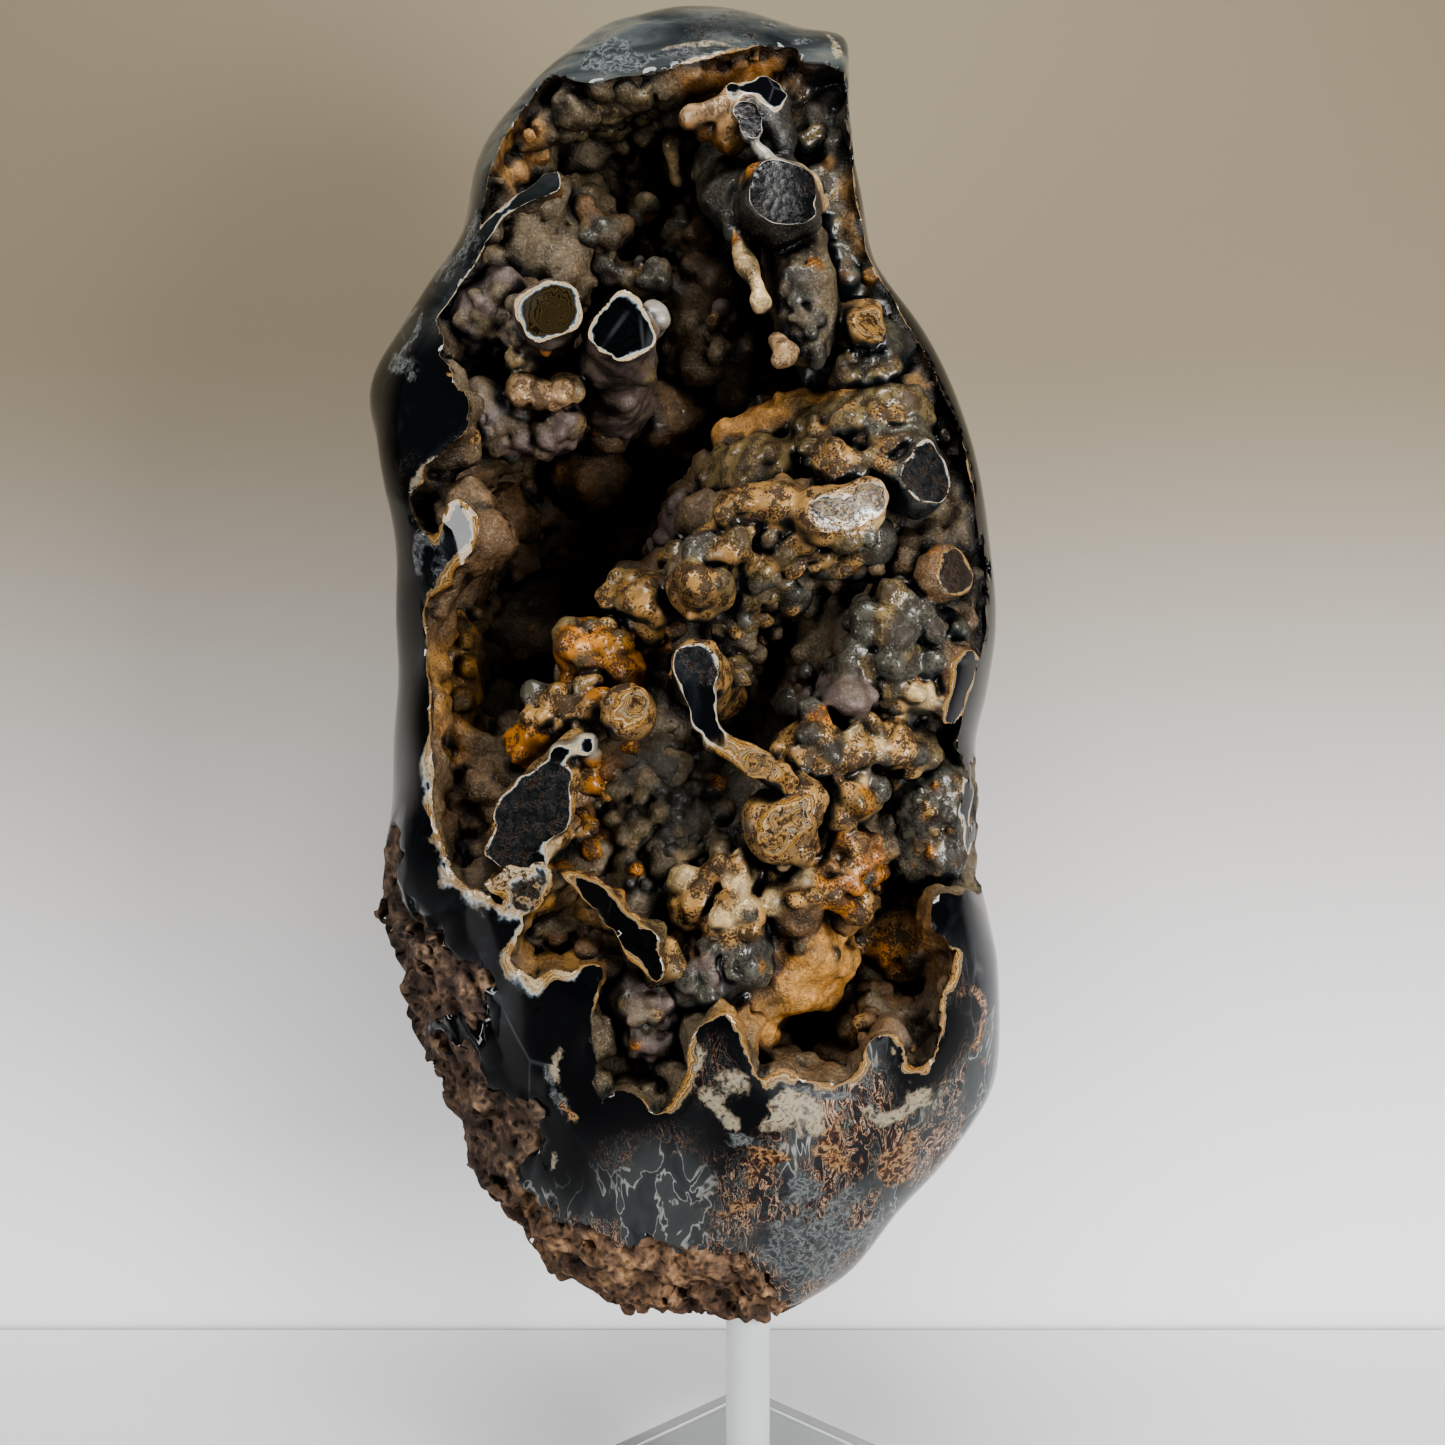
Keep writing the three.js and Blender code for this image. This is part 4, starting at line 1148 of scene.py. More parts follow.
def write_attribute(made: bpy.types.Object, name: str, values: np.ndarray) -> None:
    """Stores one number, or three, for each point of an object's mesh under this name."""
    kind, key = ("FLOAT", "value") if values.ndim == 1 else ("FLOAT_VECTOR", "vector")
    attribute = made.data.attributes.new(name, kind, "POINT")
    attribute.data.foreach_set(key, values.astype(np.float32).ravel())


@dataclass(frozen=True)
class Beads:
    """Small knobs strewn over a surface, sunk into it by a share of their radius."""

    spacing: float
    smallest: float
    largest: float
    seed: int
    sink: float = 0.35
    share: float = 1.0

    def strewn(self, block: Block, outside: np.ndarray, owners: "Owners") -> None:
        """Adds the beads to a block's solid.

        One corner near the surface is drawn from each cube of the spacing, and a bead is set a
        little inside the surface there. Few reach the polished outside.

        Args:
            block: The block.
            outside: The distance to the outside on its corners.
            owners: The list that numbers them.
        """
        rng = np.random.default_rng(self.seed)
        solid = block.solid.copy()
        flat, places = block.band(solid, 0.6 * block.pitch)
        clear = outside.ravel()[flat] < -0.8 * self.largest
        flat, places = flat[clear], places[clear]
        order = rng.permutation(len(flat))
        flat, places = flat[order], places[order]
        cube = np.floor(places / self.spacing).astype(np.int64)
        key = (cube[:, 0] * 4096 + cube[:, 1]) * 4096 + cube[:, 2]
        _, chosen = np.unique(key, return_index=True)
        chosen = chosen[rng.uniform(size=len(chosen)) < self.share]
        places, below = places[chosen], block.owner.ravel()[flat[chosen]]
        _, slope = block.slope(solid, places)
        inward = -slope / np.maximum(np.linalg.norm(slope, axis=1), 1e-6)[:, None]
        radii = self.smallest + (self.largest - self.smallest) * rng.uniform(size=len(places)) ** 1.6
        places = places + inward * (radii * (self.sink + 0.3 * rng.uniform(size=len(places))))[:, None]
        tones = rng.uniform(-1, 1, len(places))
        varied = rng.uniform(size=len(places)) < VARIED
        others = np.where(varied, rng.integers(0, len(VARIETY), len(places)), -1)
        for place, radius, tone, owner, other in zip(places, radii, tones, below, others):
            look = owners.looks[int(owner) or Owners.WALL]
            if look is not None and other >= 0:
                look = (VARIETY[other].value, look[1])
            number = owners.add(look, tone)
            block.add_length(place, place, radius, radius, 0.35 * radius, number)


class Owners:
    """Whose surface a place is: the finish and the tone behind each owner's number."""

    WALL = 1

    def __init__(self) -> None:
        """Starts with nobody at 0 and the hollow's wall at 1."""
        self.looks: list[tuple[Finish, Cut] | None] = [None, None]
        self.tones: list[float] = [0.0, 0.0]

    def add(self, look: tuple[Finish, Cut] | None, tone: float = 0.0) -> int:
        """Numbers a new owner."""
        self.looks.append(look)
        self.tones.append(tone)
        return len(self.looks) - 1

    def table(self) -> tuple[np.ndarray, np.ndarray, np.ndarray]:
        """Each owner's looks as numbers, which of them look like the wall, and their tones."""
        rows = [np.zeros(15) if look is None else Ground.numbers(*look) for look in self.looks]
        return np.array(rows), np.array([look is None for look in self.looks]), np.array(self.tones)


class Ground:
    """The looks of the hollow's walls at a place: a blend of patches over dark druse."""

    BASE = (Finishes.DRUSE, Cuts.EDGE)
    STRENGTH = 0.35
    WANDER = 14.0

    @staticmethod
    def numbers(finish: Finish, section: Cut) -> np.ndarray:
        """Looks as fifteen numbers: lit crown, shaded flank, pits, gloss, sparkle, core, band, gold, rough."""
        return np.array([*finish.lit_crown, *finish.shaded_flank, finish.pits, finish.gloss, finish.sparkle,
                         *section.core, section.band, section.gold, section.rough])

    @classmethod
    def at(cls, places: np.ndarray) -> np.ndarray:
        """The blend at some places, weighted by exp(-(distance / radius)^2) in the picture.

        Args:
            places: The places, one row each.

        Returns:
            Fifteen numbers for each place.
        """
        base = cls.numbers(cls.BASE[0].value, cls.BASE[1].value)
        pixels = VIEW.pixels(places)
        away = [Ripples(14, cls.WANDER, seed).at(places) for seed in (21, 22)]
        pixels = pixels + np.stack(away, axis=1)
        blends = []
        for patches, part in ((WALL_PATCHES, slice(0, 9)), (RIM_PATCHES, slice(9, 15))):
            weights = np.full((len(places), 1), cls.STRENGTH if part.start == 0 else 0.2)
            total = weights * base[part]
            for look, across, down, radius in patches:
                weight = np.exp(-((pixels - (across, down)) ** 2).sum(1) / radius**2)[:, None]
                pair = (look.value, cls.BASE[1].value) if part.start == 0 else (cls.BASE[0].value, look.value)
                weights = weights + weight
                total = total + weight * cls.numbers(*pair)[part]
            blends.append(total / weights)
        return np.hstack(blends)


class Paint:
    """Where the polished outside is cream, golden brown or grey."""

    WANDER = 9.0

    @classmethod
    def at(cls, places: np.ndarray) -> np.ndarray:
        """Three weights for each place: exp(-((x / half width)^2 + (y / half height)^2)) per spot."""
        pixels = VIEW.pixels(places)
        away = [Ripples(16, cls.WANDER, seed).at(places) for seed in (23, 24)]
        pixels = pixels + np.stack(away, axis=1)
        weights = []
        for spots in PAINT:
            weight = np.zeros(len(places))
            for across, down, wide, high in spots:
                far = ((pixels[:, 0] - across) / wide) ** 2 + ((pixels[:, 1] - down) / high) ** 2
                weight = np.maximum(weight, 0.7 * np.exp(-far))
            weights.append(weight * (places[:, 1] < 0))
        return np.stack(weights, axis=1)


@dataclass
class StonePart:
    """A piece of the stone: what grew there, on a block of its own."""

    name: str
    growths: list[Growth]
    pitch: float
    beads: tuple[Beads, ...] = ()
    inset: float = 0.05
    margin: float = 6.0

    def block(self) -> Block:
        """A block round the growths."""
        low, high = [], []
        for growth in self.growths:
            chain = np.array(growth.chain, float)
            places = VIEW.seen(chain[:, 0], chain[:, 1], chain[:, 2])
            low.append((places - chain[:, 3:]).min(0))
            high.append((places + chain[:, 3:]).max(0))
        return Block(np.min(low, axis=0) - self.margin, np.max(high, axis=0) + self.margin, self.pitch)


class Stone:
    """The agate: its outside, its hollow and what grew in it, as closed pieces."""

    NODE = "agate_stone"
    SLOT = "agate"
    BODY_PITCH = 1.25
    BODY_SHARE = 0.4
    RIM_ZONE = (-0.5, 8.0)
    PAINTED = 0.03
    SHADE_PITCH = 1.6
    WALL_RIPPLES = (Ripples(17, 1.3, 31), Ripples(7.5, 0.7, 32), Ripples(3.6, 0.3, 33))
    GROWTH_RIPPLES = (Ripples(11.0, 0.45, 34), Ripples(4.5, 0.16, 35))
    # The way, up and to the front towards the lights, that the lit crown colour faces: painted light.
    LIT_CROWN_WAY = (0.10, -0.62, 0.78)
    WALL_BEADS = (Beads(9.0, 2.2, 6.0, 41, 0.4, 0.75), Beads(4.6, 1.3, 2.9, 42, 0.3, 0.8))

    def __init__(self) -> None:
        """Works out the outside and the hollow."""
        self.envelope = Envelope()
        self.hollow = Hollow(self.envelope)
        self.parts = [
            StonePart("upper_growths", UPPER_GROWTHS, 0.8, (Beads(8.0, 1.5, 3.2, 51, 0.5, 0.4),)),
            StonePart("left_shelf", LEFT_SHELF, 0.75, (Beads(8.0, 1.5, 3.2, 52, 0.5, 0.4),)),
            StonePart("deep_knobs", DEEP_KNOBS, 1.1, (Beads(6.0, 1.6, 3.0, 57, 0.4, 0.5),)),
            StonePart("centre_ridge", CENTRE_RIDGE, 0.8, (Beads(6.6, 1.2, 2.8, 53, 0.5, 0.35),)),
            StonePart("right_cluster", RIGHT_CLUSTER, 0.8, (Beads(6.0, 1.2, 2.6, 54, 0.45, 0.35),)),
            StonePart("lower_cluster", LOWER_CLUSTER, 0.8, (Beads(6.0, 1.2, 2.6, 55, 0.45, 0.35),)),
            StonePart("lower_left", LOWER_LEFT, 0.8, (Beads(7.0, 1.5, 3.2, 56, 0.5, 0.5),)),
            StonePart("warty_ball", WARTY_BALL, 0.7, (Beads(2.7, 0.7, 1.2, 58, 0.35, 0.75),)),
        ]

    def _box(self) -> tuple[np.ndarray, np.ndarray]:
        """The stone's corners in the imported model, in millimetres, with a margin."""
        low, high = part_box(self.NODE)
        return np.array(low) / MM - 4, np.array(high) / MM + 4

    def _ground(self, pitch: float, beads: tuple[Beads, ...]) -> tuple[Block, np.ndarray, Owners]:
        """The stone's body on a block: the hollow, the masses and the beads on its walls.

        Args:
            pitch: The block's pitch.
            beads: The beads.

        Returns:
            The block, the distance to the outside without its crust, and the owners.
        """
        low, high = self._box()
        block = Block(low, high, pitch)
        owners = Owners()
        block.solid = self.hollow.on_block(block)
        block.owner[...] = Owners.WALL
        for growth in MASSES:
            look = (growth.finish.value, growth.cut.value)
            block.add_growth(replace(growth, blend=5.0), owners.add(look if growth.finish in SHOWN else None))
        outside = self.envelope.on_block(block)
        for ledge in LEDGES:
            self._add_ledge(ledge, block, outside, owners.add((ledge.finish.value, ledge.cut.value)))
        flat, places = block.band(block.solid, 4 * pitch)
        share = 0.3 + 0.7 * smoothstep(-outside.ravel()[flat], 2, 12)
        for ripples in self.WALL_RIPPLES:
            block.solid.ravel()[flat] += ripples.at(places) * share
        for some in beads:
            some.strewn(block, outside, owners)
        return block, outside, owners

    def _add_ledge(self, ledge: Ledge, block: Block, outside: np.ndarray, owner: int) -> None:
        """Joins a ledge to the solid: inside its outline, and less than its thickness deep.

        Args:
            ledge: The ledge.
            block: The block.
            outside: The distance to the outside on the block's corners.
            owner: The ledge's number.
        """
        rim = self.envelope.on_front(ledge.outline)
        shape = Outline(rim, rim.mean(0))
        x, _, z = block.axes()
        slab = smooth_min(-shape.distance(x, z).astype(np.float32), outside + ledge.thickness, 1.5)
        distance = -slab
        block.owner[...] = np.where(distance < block.solid, owner, block.owner)
        block.solid = smooth_min(block.solid, distance, 1.5)

    def _seen(self, across: np.ndarray, down: np.ndarray) -> tuple[np.ndarray, np.ndarray]:
        """The first places of the stone that are seen at some pixels.

        Each ray is followed from the front in short steps until it is in the solid.

        Args:
            across: Pixels from the picture's left edge.
            down: Pixels from its top edge.

        Returns:
            The places, one row each, and whether the ray met the stone.
        """
        depth = np.arange(-STONE_FRONT - 2, STONE_BACK, 0.4)
        rays = VIEW.seen(across[:, None], down[:, None], depth[None, :])
        field_there = self.shade.sample(self.shade_all, rays.reshape(-1, 3)).reshape(rays.shape[:2])
        solid = field_there < 0
        first = solid.argmax(axis=1)
        return rays[np.arange(len(first)), first], solid.any(axis=1)

    def _add_small_knobs(self, part: "StonePart", block: Block, owners: Owners) -> None:
        """Sets the small knobs of a part on what is seen there, if they are clear of the outside."""
        rng = np.random.default_rng(71)
        groups = [((finish,), np.array(spots, float)) for finish, spots in SMALL_KNOBS.get(part.name, [])]
        groups += [(oval.finishes, oval.spots(rng)) for oval in PACKED.get(part.name, ())]
        low, high = block.low, block.low + block.pitch * (np.array(block.shape) - 1)
        for finishes, spots in groups:
            places, met = self._seen(spots[:, 0], spots[:, 1])
            radii = spots[:, 2] * (places[:, 1] - VIEW.eye[1]) / VIEW.focal_pixels
            ray = places - np.array(VIEW.eye)
            ray /= np.linalg.norm(ray, axis=1)[:, None]
            tones = rng.uniform(-0.7, 0.7, len(spots))
            centres = places + ray * (0.2 * radii)[:, None]
            met &= (self.envelope.distance(centres)[0] < -radii).ravel()
            met &= ((centres - low > radii[:, None] + 2) & (high - centres > radii[:, None] + 2)).all(axis=1)
            kinds = rng.integers(0, len(finishes), len(spots))
            for centre, radius, tone, kind in zip(centres[met], radii[met], tones[met], kinds[met]):
                owner = owners.add((finishes[kind].value, Cuts.GLASS.value), tone)
                block.add_length(centre, centre, radius, radius, 0.14 * radius, owner)

    def build(self) -> list[bpy.types.Object]:
        """Makes every piece of the stone.

        Returns:
            The pieces.
        """
        self.shade, outside, _ = self._ground(self.SHADE_PITCH, ())
        for part in self.parts:
            for growth in part.growths:
                self.shade.add_growth(growth, Owners.WALL)
        self.shade_all = np.maximum(self.shade.solid, outside)
        made = [self._body()]
        made += [self._part(part) for part in self.parts]
        return made

    def _body(self) -> bpy.types.Object:
        """The polished outside with the walls of the hollow."""
        block, outside, owners = self._ground(self.BODY_PITCH, self.WALL_BEADS)
        flat, places = block.band(outside, 4 * block.pitch)
        outside.ravel()[flat] -= self.envelope.crust_height(places).astype(np.float32)
        skin = Skin.around(block, np.maximum(block.solid, outside))
        top = skin.points[:, 2] > skin.points[:, 2].max() - 3
        skin = skin.without_crumbs(top)
        skin.settle(block, block.solid, self.envelope, 0.0)
        self.body = block
        self.body_all = np.maximum(block.solid, outside)
        return self._dressed(skin, "stone_body", block, owners, 0.0)

    def _part(self, part: StonePart) -> bpy.types.Object:
        """One group of growths, cut off at the stone's outside."""
        block = part.block()
        owners = Owners()
        for growth in part.growths:
            block.add_growth(growth, owners.add((growth.finish.value, growth.cut.value)))
        self._add_small_knobs(part, block, owners)
        flat, places = block.band(block.solid, 3 * part.pitch)
        for ripples in self.GROWTH_RIPPLES:
            block.solid.ravel()[flat] += ripples.at(places).astype(np.float32)
        outside = self.envelope.on_block(block) + part.inset
        for beads in part.beads:
            beads.strewn(block, outside, owners)
        flat, places = block.band(outside, 4 * part.pitch)
        outside.ravel()[flat] -= self.envelope.crust_height(places).astype(np.float32)
        skin = Skin.around(block, np.maximum(block.solid, outside))
        rooted = self.body.sample(self.body_all, skin.points) < -0.4
        skin = skin.without_crumbs(rooted)
        skin.settle(block, block.solid, self.envelope, part.inset)
        return self._dressed(skin, part.name, block, owners, part.inset)

    def _dressed(self, skin: Skin, name: str, block: Block, owners: Owners,
                 inset: float) -> bpy.types.Object:
        """Makes a piece's object and writes what its finish reads.

        inlay is how deep under the grown surface a cut face lies there, in millimetres, and below zero on the
        grown surface itself. open is how much of the space close before the surface and further off is free, and
        how much it faces up and to the front, towards the lights: the finish paints light and shade by them.

        Args:
            skin: The surface.
            name: The piece's name.
            block: The block that it comes from.
            owners: The owners of that block.
            inset: How far inside the outside its cut is.

        Returns:
            The object.
        """
        normals = skin.normals()
        outer, _ = self.envelope.distance(skin.points)
        grown = block.sample(block.solid, skin.points)
        inlay = outer + inset - grown
        number = block.nearest(block.owner, skin.points - 0.3 * block.pitch * normals)
        table, walls, tones = owners.table()
        looks = np.where(walls[number][:, None], Ground.at(skin.points), table[number])
        tone = tones[number]
        looks[:, :6] *= (1 + 0.3 * tone)[:, None]
        dull = np.hstack([F.OLIVE.value.lit_crown, F.GREY.value.shaded_flank]) * 0.8
        creep = Ripples(26, 0.5, 63).at(skin.points) + Ripples(9, 0.4, 64).at(skin.points)
        creep = smoothstep(creep, 0.1, 1.2)
        creep = (0.65 * creep * ~walls[number])[:, None]
        looks[:, :6] = looks[:, :6] * (1 - creep) + np.minimum(looks[:, :6], dull) * creep
        looks[walls[number], 9:12] = Cuts.GLASS.value.core
        looks = skin.smoothed(looks, 2)
        # How free the space before each point is, near and far: the finish paints shade by it in crevices and
        # recesses.
        free = [self.shade.sample(self.shade_all, skin.points + normals * t) / t for t in (2.5, 5, 10)]
        own = block.sample(block.solid, skin.points + 1.6 * normals) / 1.6
        open_near = np.clip(free[0], 0, 1) * smoothstep(own, 0.25, 0.95)
        open_far = np.clip(0.5 * (free[1] + free[2]), 0, 1)
        # How much a point faces up and to the front, towards the lights, for painted light on its top.
        facing = 0.5 + 0.5 * normals @ np.array(self.LIT_CROWN_WAY)
        made = skin.to_object(name)
        write_attribute(made, "inlay", inlay)
        for attribute, first in (("lit_crown", 0), ("shaded_flank", 3), ("surface", 6), ("core", 9), ("cut", 12)):
            write_attribute(made, attribute, looks[:, first:first + 3])
        write_attribute(made, "open", np.stack([open_near, open_far, facing], axis=1))
        body = float(inset == 0)
        write_attribute(made, "ground", np.stack([
            self.envelope.crust_share(skin.points), body * self._breccia(skin.points),
            body * self._cloud(skin.points)], axis=1))
        paint = body * Paint.at(skin.points)
        write_attribute(made, "paint", paint)
        if body:
            plain = paint.max(axis=1) < self.PAINTED
            self._thin(made, plain & ((inlay < self.RIM_ZONE[0]) | (inlay > self.RIM_ZONE[1])))
        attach(made, BODY)
        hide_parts(self.NODE)
        log.info("%s: %d points, %d faces", name, len(skin.points), len(skin.faces))
        return made

    def _thin(self, made: bpy.types.Object, free: np.ndarray) -> None:
        """Thins an object to a share of its faces, most where it is smooth, by its free points alone."""
        group = made.vertex_groups.new(name="free")
        group.add(np.flatnonzero(free).tolist(), 1.0, "REPLACE")
        thinner = made.modifiers.new("thinner", "DECIMATE")
        thinner.ratio = self.BODY_SHARE
        thinner.vertex_group = group.name

    @staticmethod
    def _breccia(places: np.ndarray) -> np.ndarray:
        """How broken and healed the polished stone is: most at the foot, towards the right."""
        pixels = VIEW.pixels(places)
        ragged = Ripples(30, 30, 61).at(places)
        return smoothstep(pixels[:, 1] + 0.35 * (pixels[:, 0] - 700) + ragged, 1090, 1180)

    @staticmethod
    def _cloud(places: np.ndarray) -> np.ndarray:
        """How grey and streaked the polished stone is: most at the top."""
        return smoothstep(places[:, 2] + Ripples(40, 14, 62).at(places), 330, 400)


class Value:
    """A shader value. An expression on values adds its Math nodes."""

    def __init__(self, shader: "Shader", socket: bpy.types.NodeSocket) -> None:
        """Wraps an output socket."""
        self.shader = shader
        self.socket = socket

    def _math(self, operation: str, *values: "Value | float") -> "Value":
        """The result of a Math node on these values."""
        return self.shader.node("ShaderNodeMath", {"operation": operation}, dict(enumerate(values)))[0]

    def __add__(self, other: "Value | float") -> "Value":
        """self + other."""
        return self._math("ADD", self, other)

    def __radd__(self, other: float) -> "Value":
        """other + self."""
        return self._math("ADD", other, self)

    def __sub__(self, other: "Value | float") -> "Value":
        """self - other."""
        return self._math("SUBTRACT", self, other)

    def __rsub__(self, other: float) -> "Value":
        """other - self."""
        return self._math("SUBTRACT", other, self)

    def __mul__(self, other: "Value | float") -> "Value":
        """self * other."""
        return self._math("MULTIPLY", self, other)

    def __rmul__(self, other: float) -> "Value":
        """other * self."""
        return self._math("MULTIPLY", other, self)

    def __truediv__(self, other: "Value | float") -> "Value":
        """self / other."""
        return self._math("DIVIDE", self, other)

    def sine(self) -> "Value":
        """The sine."""
        return self._math("SINE", self)

    def over(self, low: float, high: float) -> "Value":
        """0 below low, 1 above high, and a smooth rise between."""
        return self.shader.node("ShaderNodeMapRange", {"interpolation_type": "SMOOTHSTEP"},
                                {0: self, 1: low, 2: high, 3: 0.0, 4: 1.0})[0]

    def clamped(self) -> "Value":
        """The value kept in 0 to 1."""
        return self.shader.node("ShaderNodeClamp", {}, {0: self, 1: 0.0, 2: 1.0})[0]


class Shader:
    """A material's node tree, with one method that makes its nodes."""

    def __init__(self, name: str) -> None:
        """Starts an empty material of this name."""
        self.material = bpy.data.materials.new(name)
        self.material.use_nodes = True
        self.tree = self.material.node_tree
        self.tree.nodes.clear()

    def node(self, kind: str, settings: dict, inputs: dict) -> list[Value]:
        """Adds a node.

        Args:
            kind: The node's type.
            settings: Its properties, which are set first. A ramp's stops are (place, colour) pairs.
            inputs: Values or links by socket name or number.

        Returns:
            Its outputs.
        """
        made = self.tree.nodes.new(kind)
        for key, value in settings.items():
            if key == "stops":
                self._set_stops(made.color_ramp, value)
            else:
                setattr(made, key, value)
        for key, value in inputs.items():
            socket = made.inputs[key]
            if isinstance(value, Value):
                self.tree.links.new(value.socket, socket)
            else:
                socket.default_value = value
        return [Value(self, output) for output in made.outputs]

    @staticmethod
    def _set_stops(ramp: bpy.types.ColorRamp, stops: list[tuple[float, Colour]]) -> None:
        """Gives a ramp its stops."""
        while len(ramp.elements) < len(stops):
            ramp.elements.new(1.0)
        for element, (place, colour) in zip(ramp.elements, stops):
            element.position = place
            element.color = (*colour, 1.0)

    def attribute(self, name: str) -> Value:
        """An attribute's vector."""
        return self.node("ShaderNodeAttribute", {"attribute_name": name}, {})[1]

    def number(self, name: str) -> Value:
        """An attribute's single number."""
        return self.node("ShaderNodeAttribute", {"attribute_name": name}, {})[2]

    def parts(self, vector: Value) -> list[Value]:
        """A vector's x, y and z."""
        return self.node("ShaderNodeSeparateXYZ", {}, {0: vector})

    def place(self) -> Value:
        """Object coordinates."""
        return self.node("ShaderNodeTexCoord", {}, {})[3]

    def noise(self, place: Value, length: float, detail: float = 2.0, rough: float = 0.5,
              bend: float = 0.0) -> Value:
        """Noise from 0 to 1, with features of this length in millimetres."""
        return self.node("ShaderNodeTexNoise", {}, {
            "Vector": place, "Scale": 1 / (length * MM), "Detail": detail, "Roughness": rough,
            "Distortion": bend})[0]

    def cells(self, place: Value, length: float, feature: str = "F1") -> list[Value]:
        """A Voronoi pattern's outputs, with cells of this size in millimetres."""
        return self.node("ShaderNodeTexVoronoi", {"feature": feature},
                         {"Vector": place, "Scale": 1 / (length * MM)})

    def ramp(self, value: Value, stops: list[tuple[float, Colour]]) -> Value:
        """A colour by value."""
        return self.node("ShaderNodeValToRGB", {"stops": stops}, {0: value})[0]

    def mix(self, share: "Value | float", a: "Value | Colour", b: "Value | Colour",
            blend: str = "MIX") -> Value:
        """A colour between a and b."""
        a, b = (v if isinstance(v, Value) else (*v, 1.0) for v in (a, b))
        return self.node("ShaderNodeMix", {"data_type": "RGBA", "blend_type": blend},
                         {0: share, 6: a, 7: b})[2]

    def between(self, share: Value, a: "Value | float", b: "Value | float") -> Value:
        """A number between a and b."""
        return self.node("ShaderNodeMix", {"data_type": "FLOAT"}, {0: share, 2: a, 3: b})[0]

    def brighter(self, colour: Value, factor: Value) -> Value:
        """A colour times a number."""
        return self.node("ShaderNodeVectorMath", {"operation": "SCALE"}, {0: colour, 3: factor})[0]

    def turned(self, place: Value, scale: Colour, degrees: Colour) -> Value:
        """A place stretched and turned."""
        turn = tuple(math.radians(d) for d in degrees)
        return self.node("ShaderNodeMapping", {}, {"Vector": place, "Rotation": turn, "Scale": scale})[0]

    def bump(self, height: Value, distance_mm: float, strength: float = 1.0) -> Value:
        """A normal bent by a height of this many millimetres at 1."""
        return self.node("ShaderNodeBump", {}, {
            "Strength": strength, "Distance": distance_mm * MM, "Height": height})[0]

    def principled(self, **inputs: "Value | float | tuple") -> Value:
        """A Principled shader. Names are its sockets', with _ for a space."""
        named = {key.replace("_", " "): value for key, value in inputs.items()}
        return self.node("ShaderNodeBsdfPrincipled", {}, named)[0]

    def layered(self, share: Value, under: Value, over: Value) -> Value:
        """One shader over another, by this share."""
        return self.node("ShaderNodeMixShader", {}, {0: share, 1: under, 2: over})[0]

    def finish(self, surface: Value) -> bpy.types.Material:
        """Links the surface to the output and returns the material."""
        self.node("ShaderNodeOutputMaterial", {}, {"Surface": surface})
        return self.material


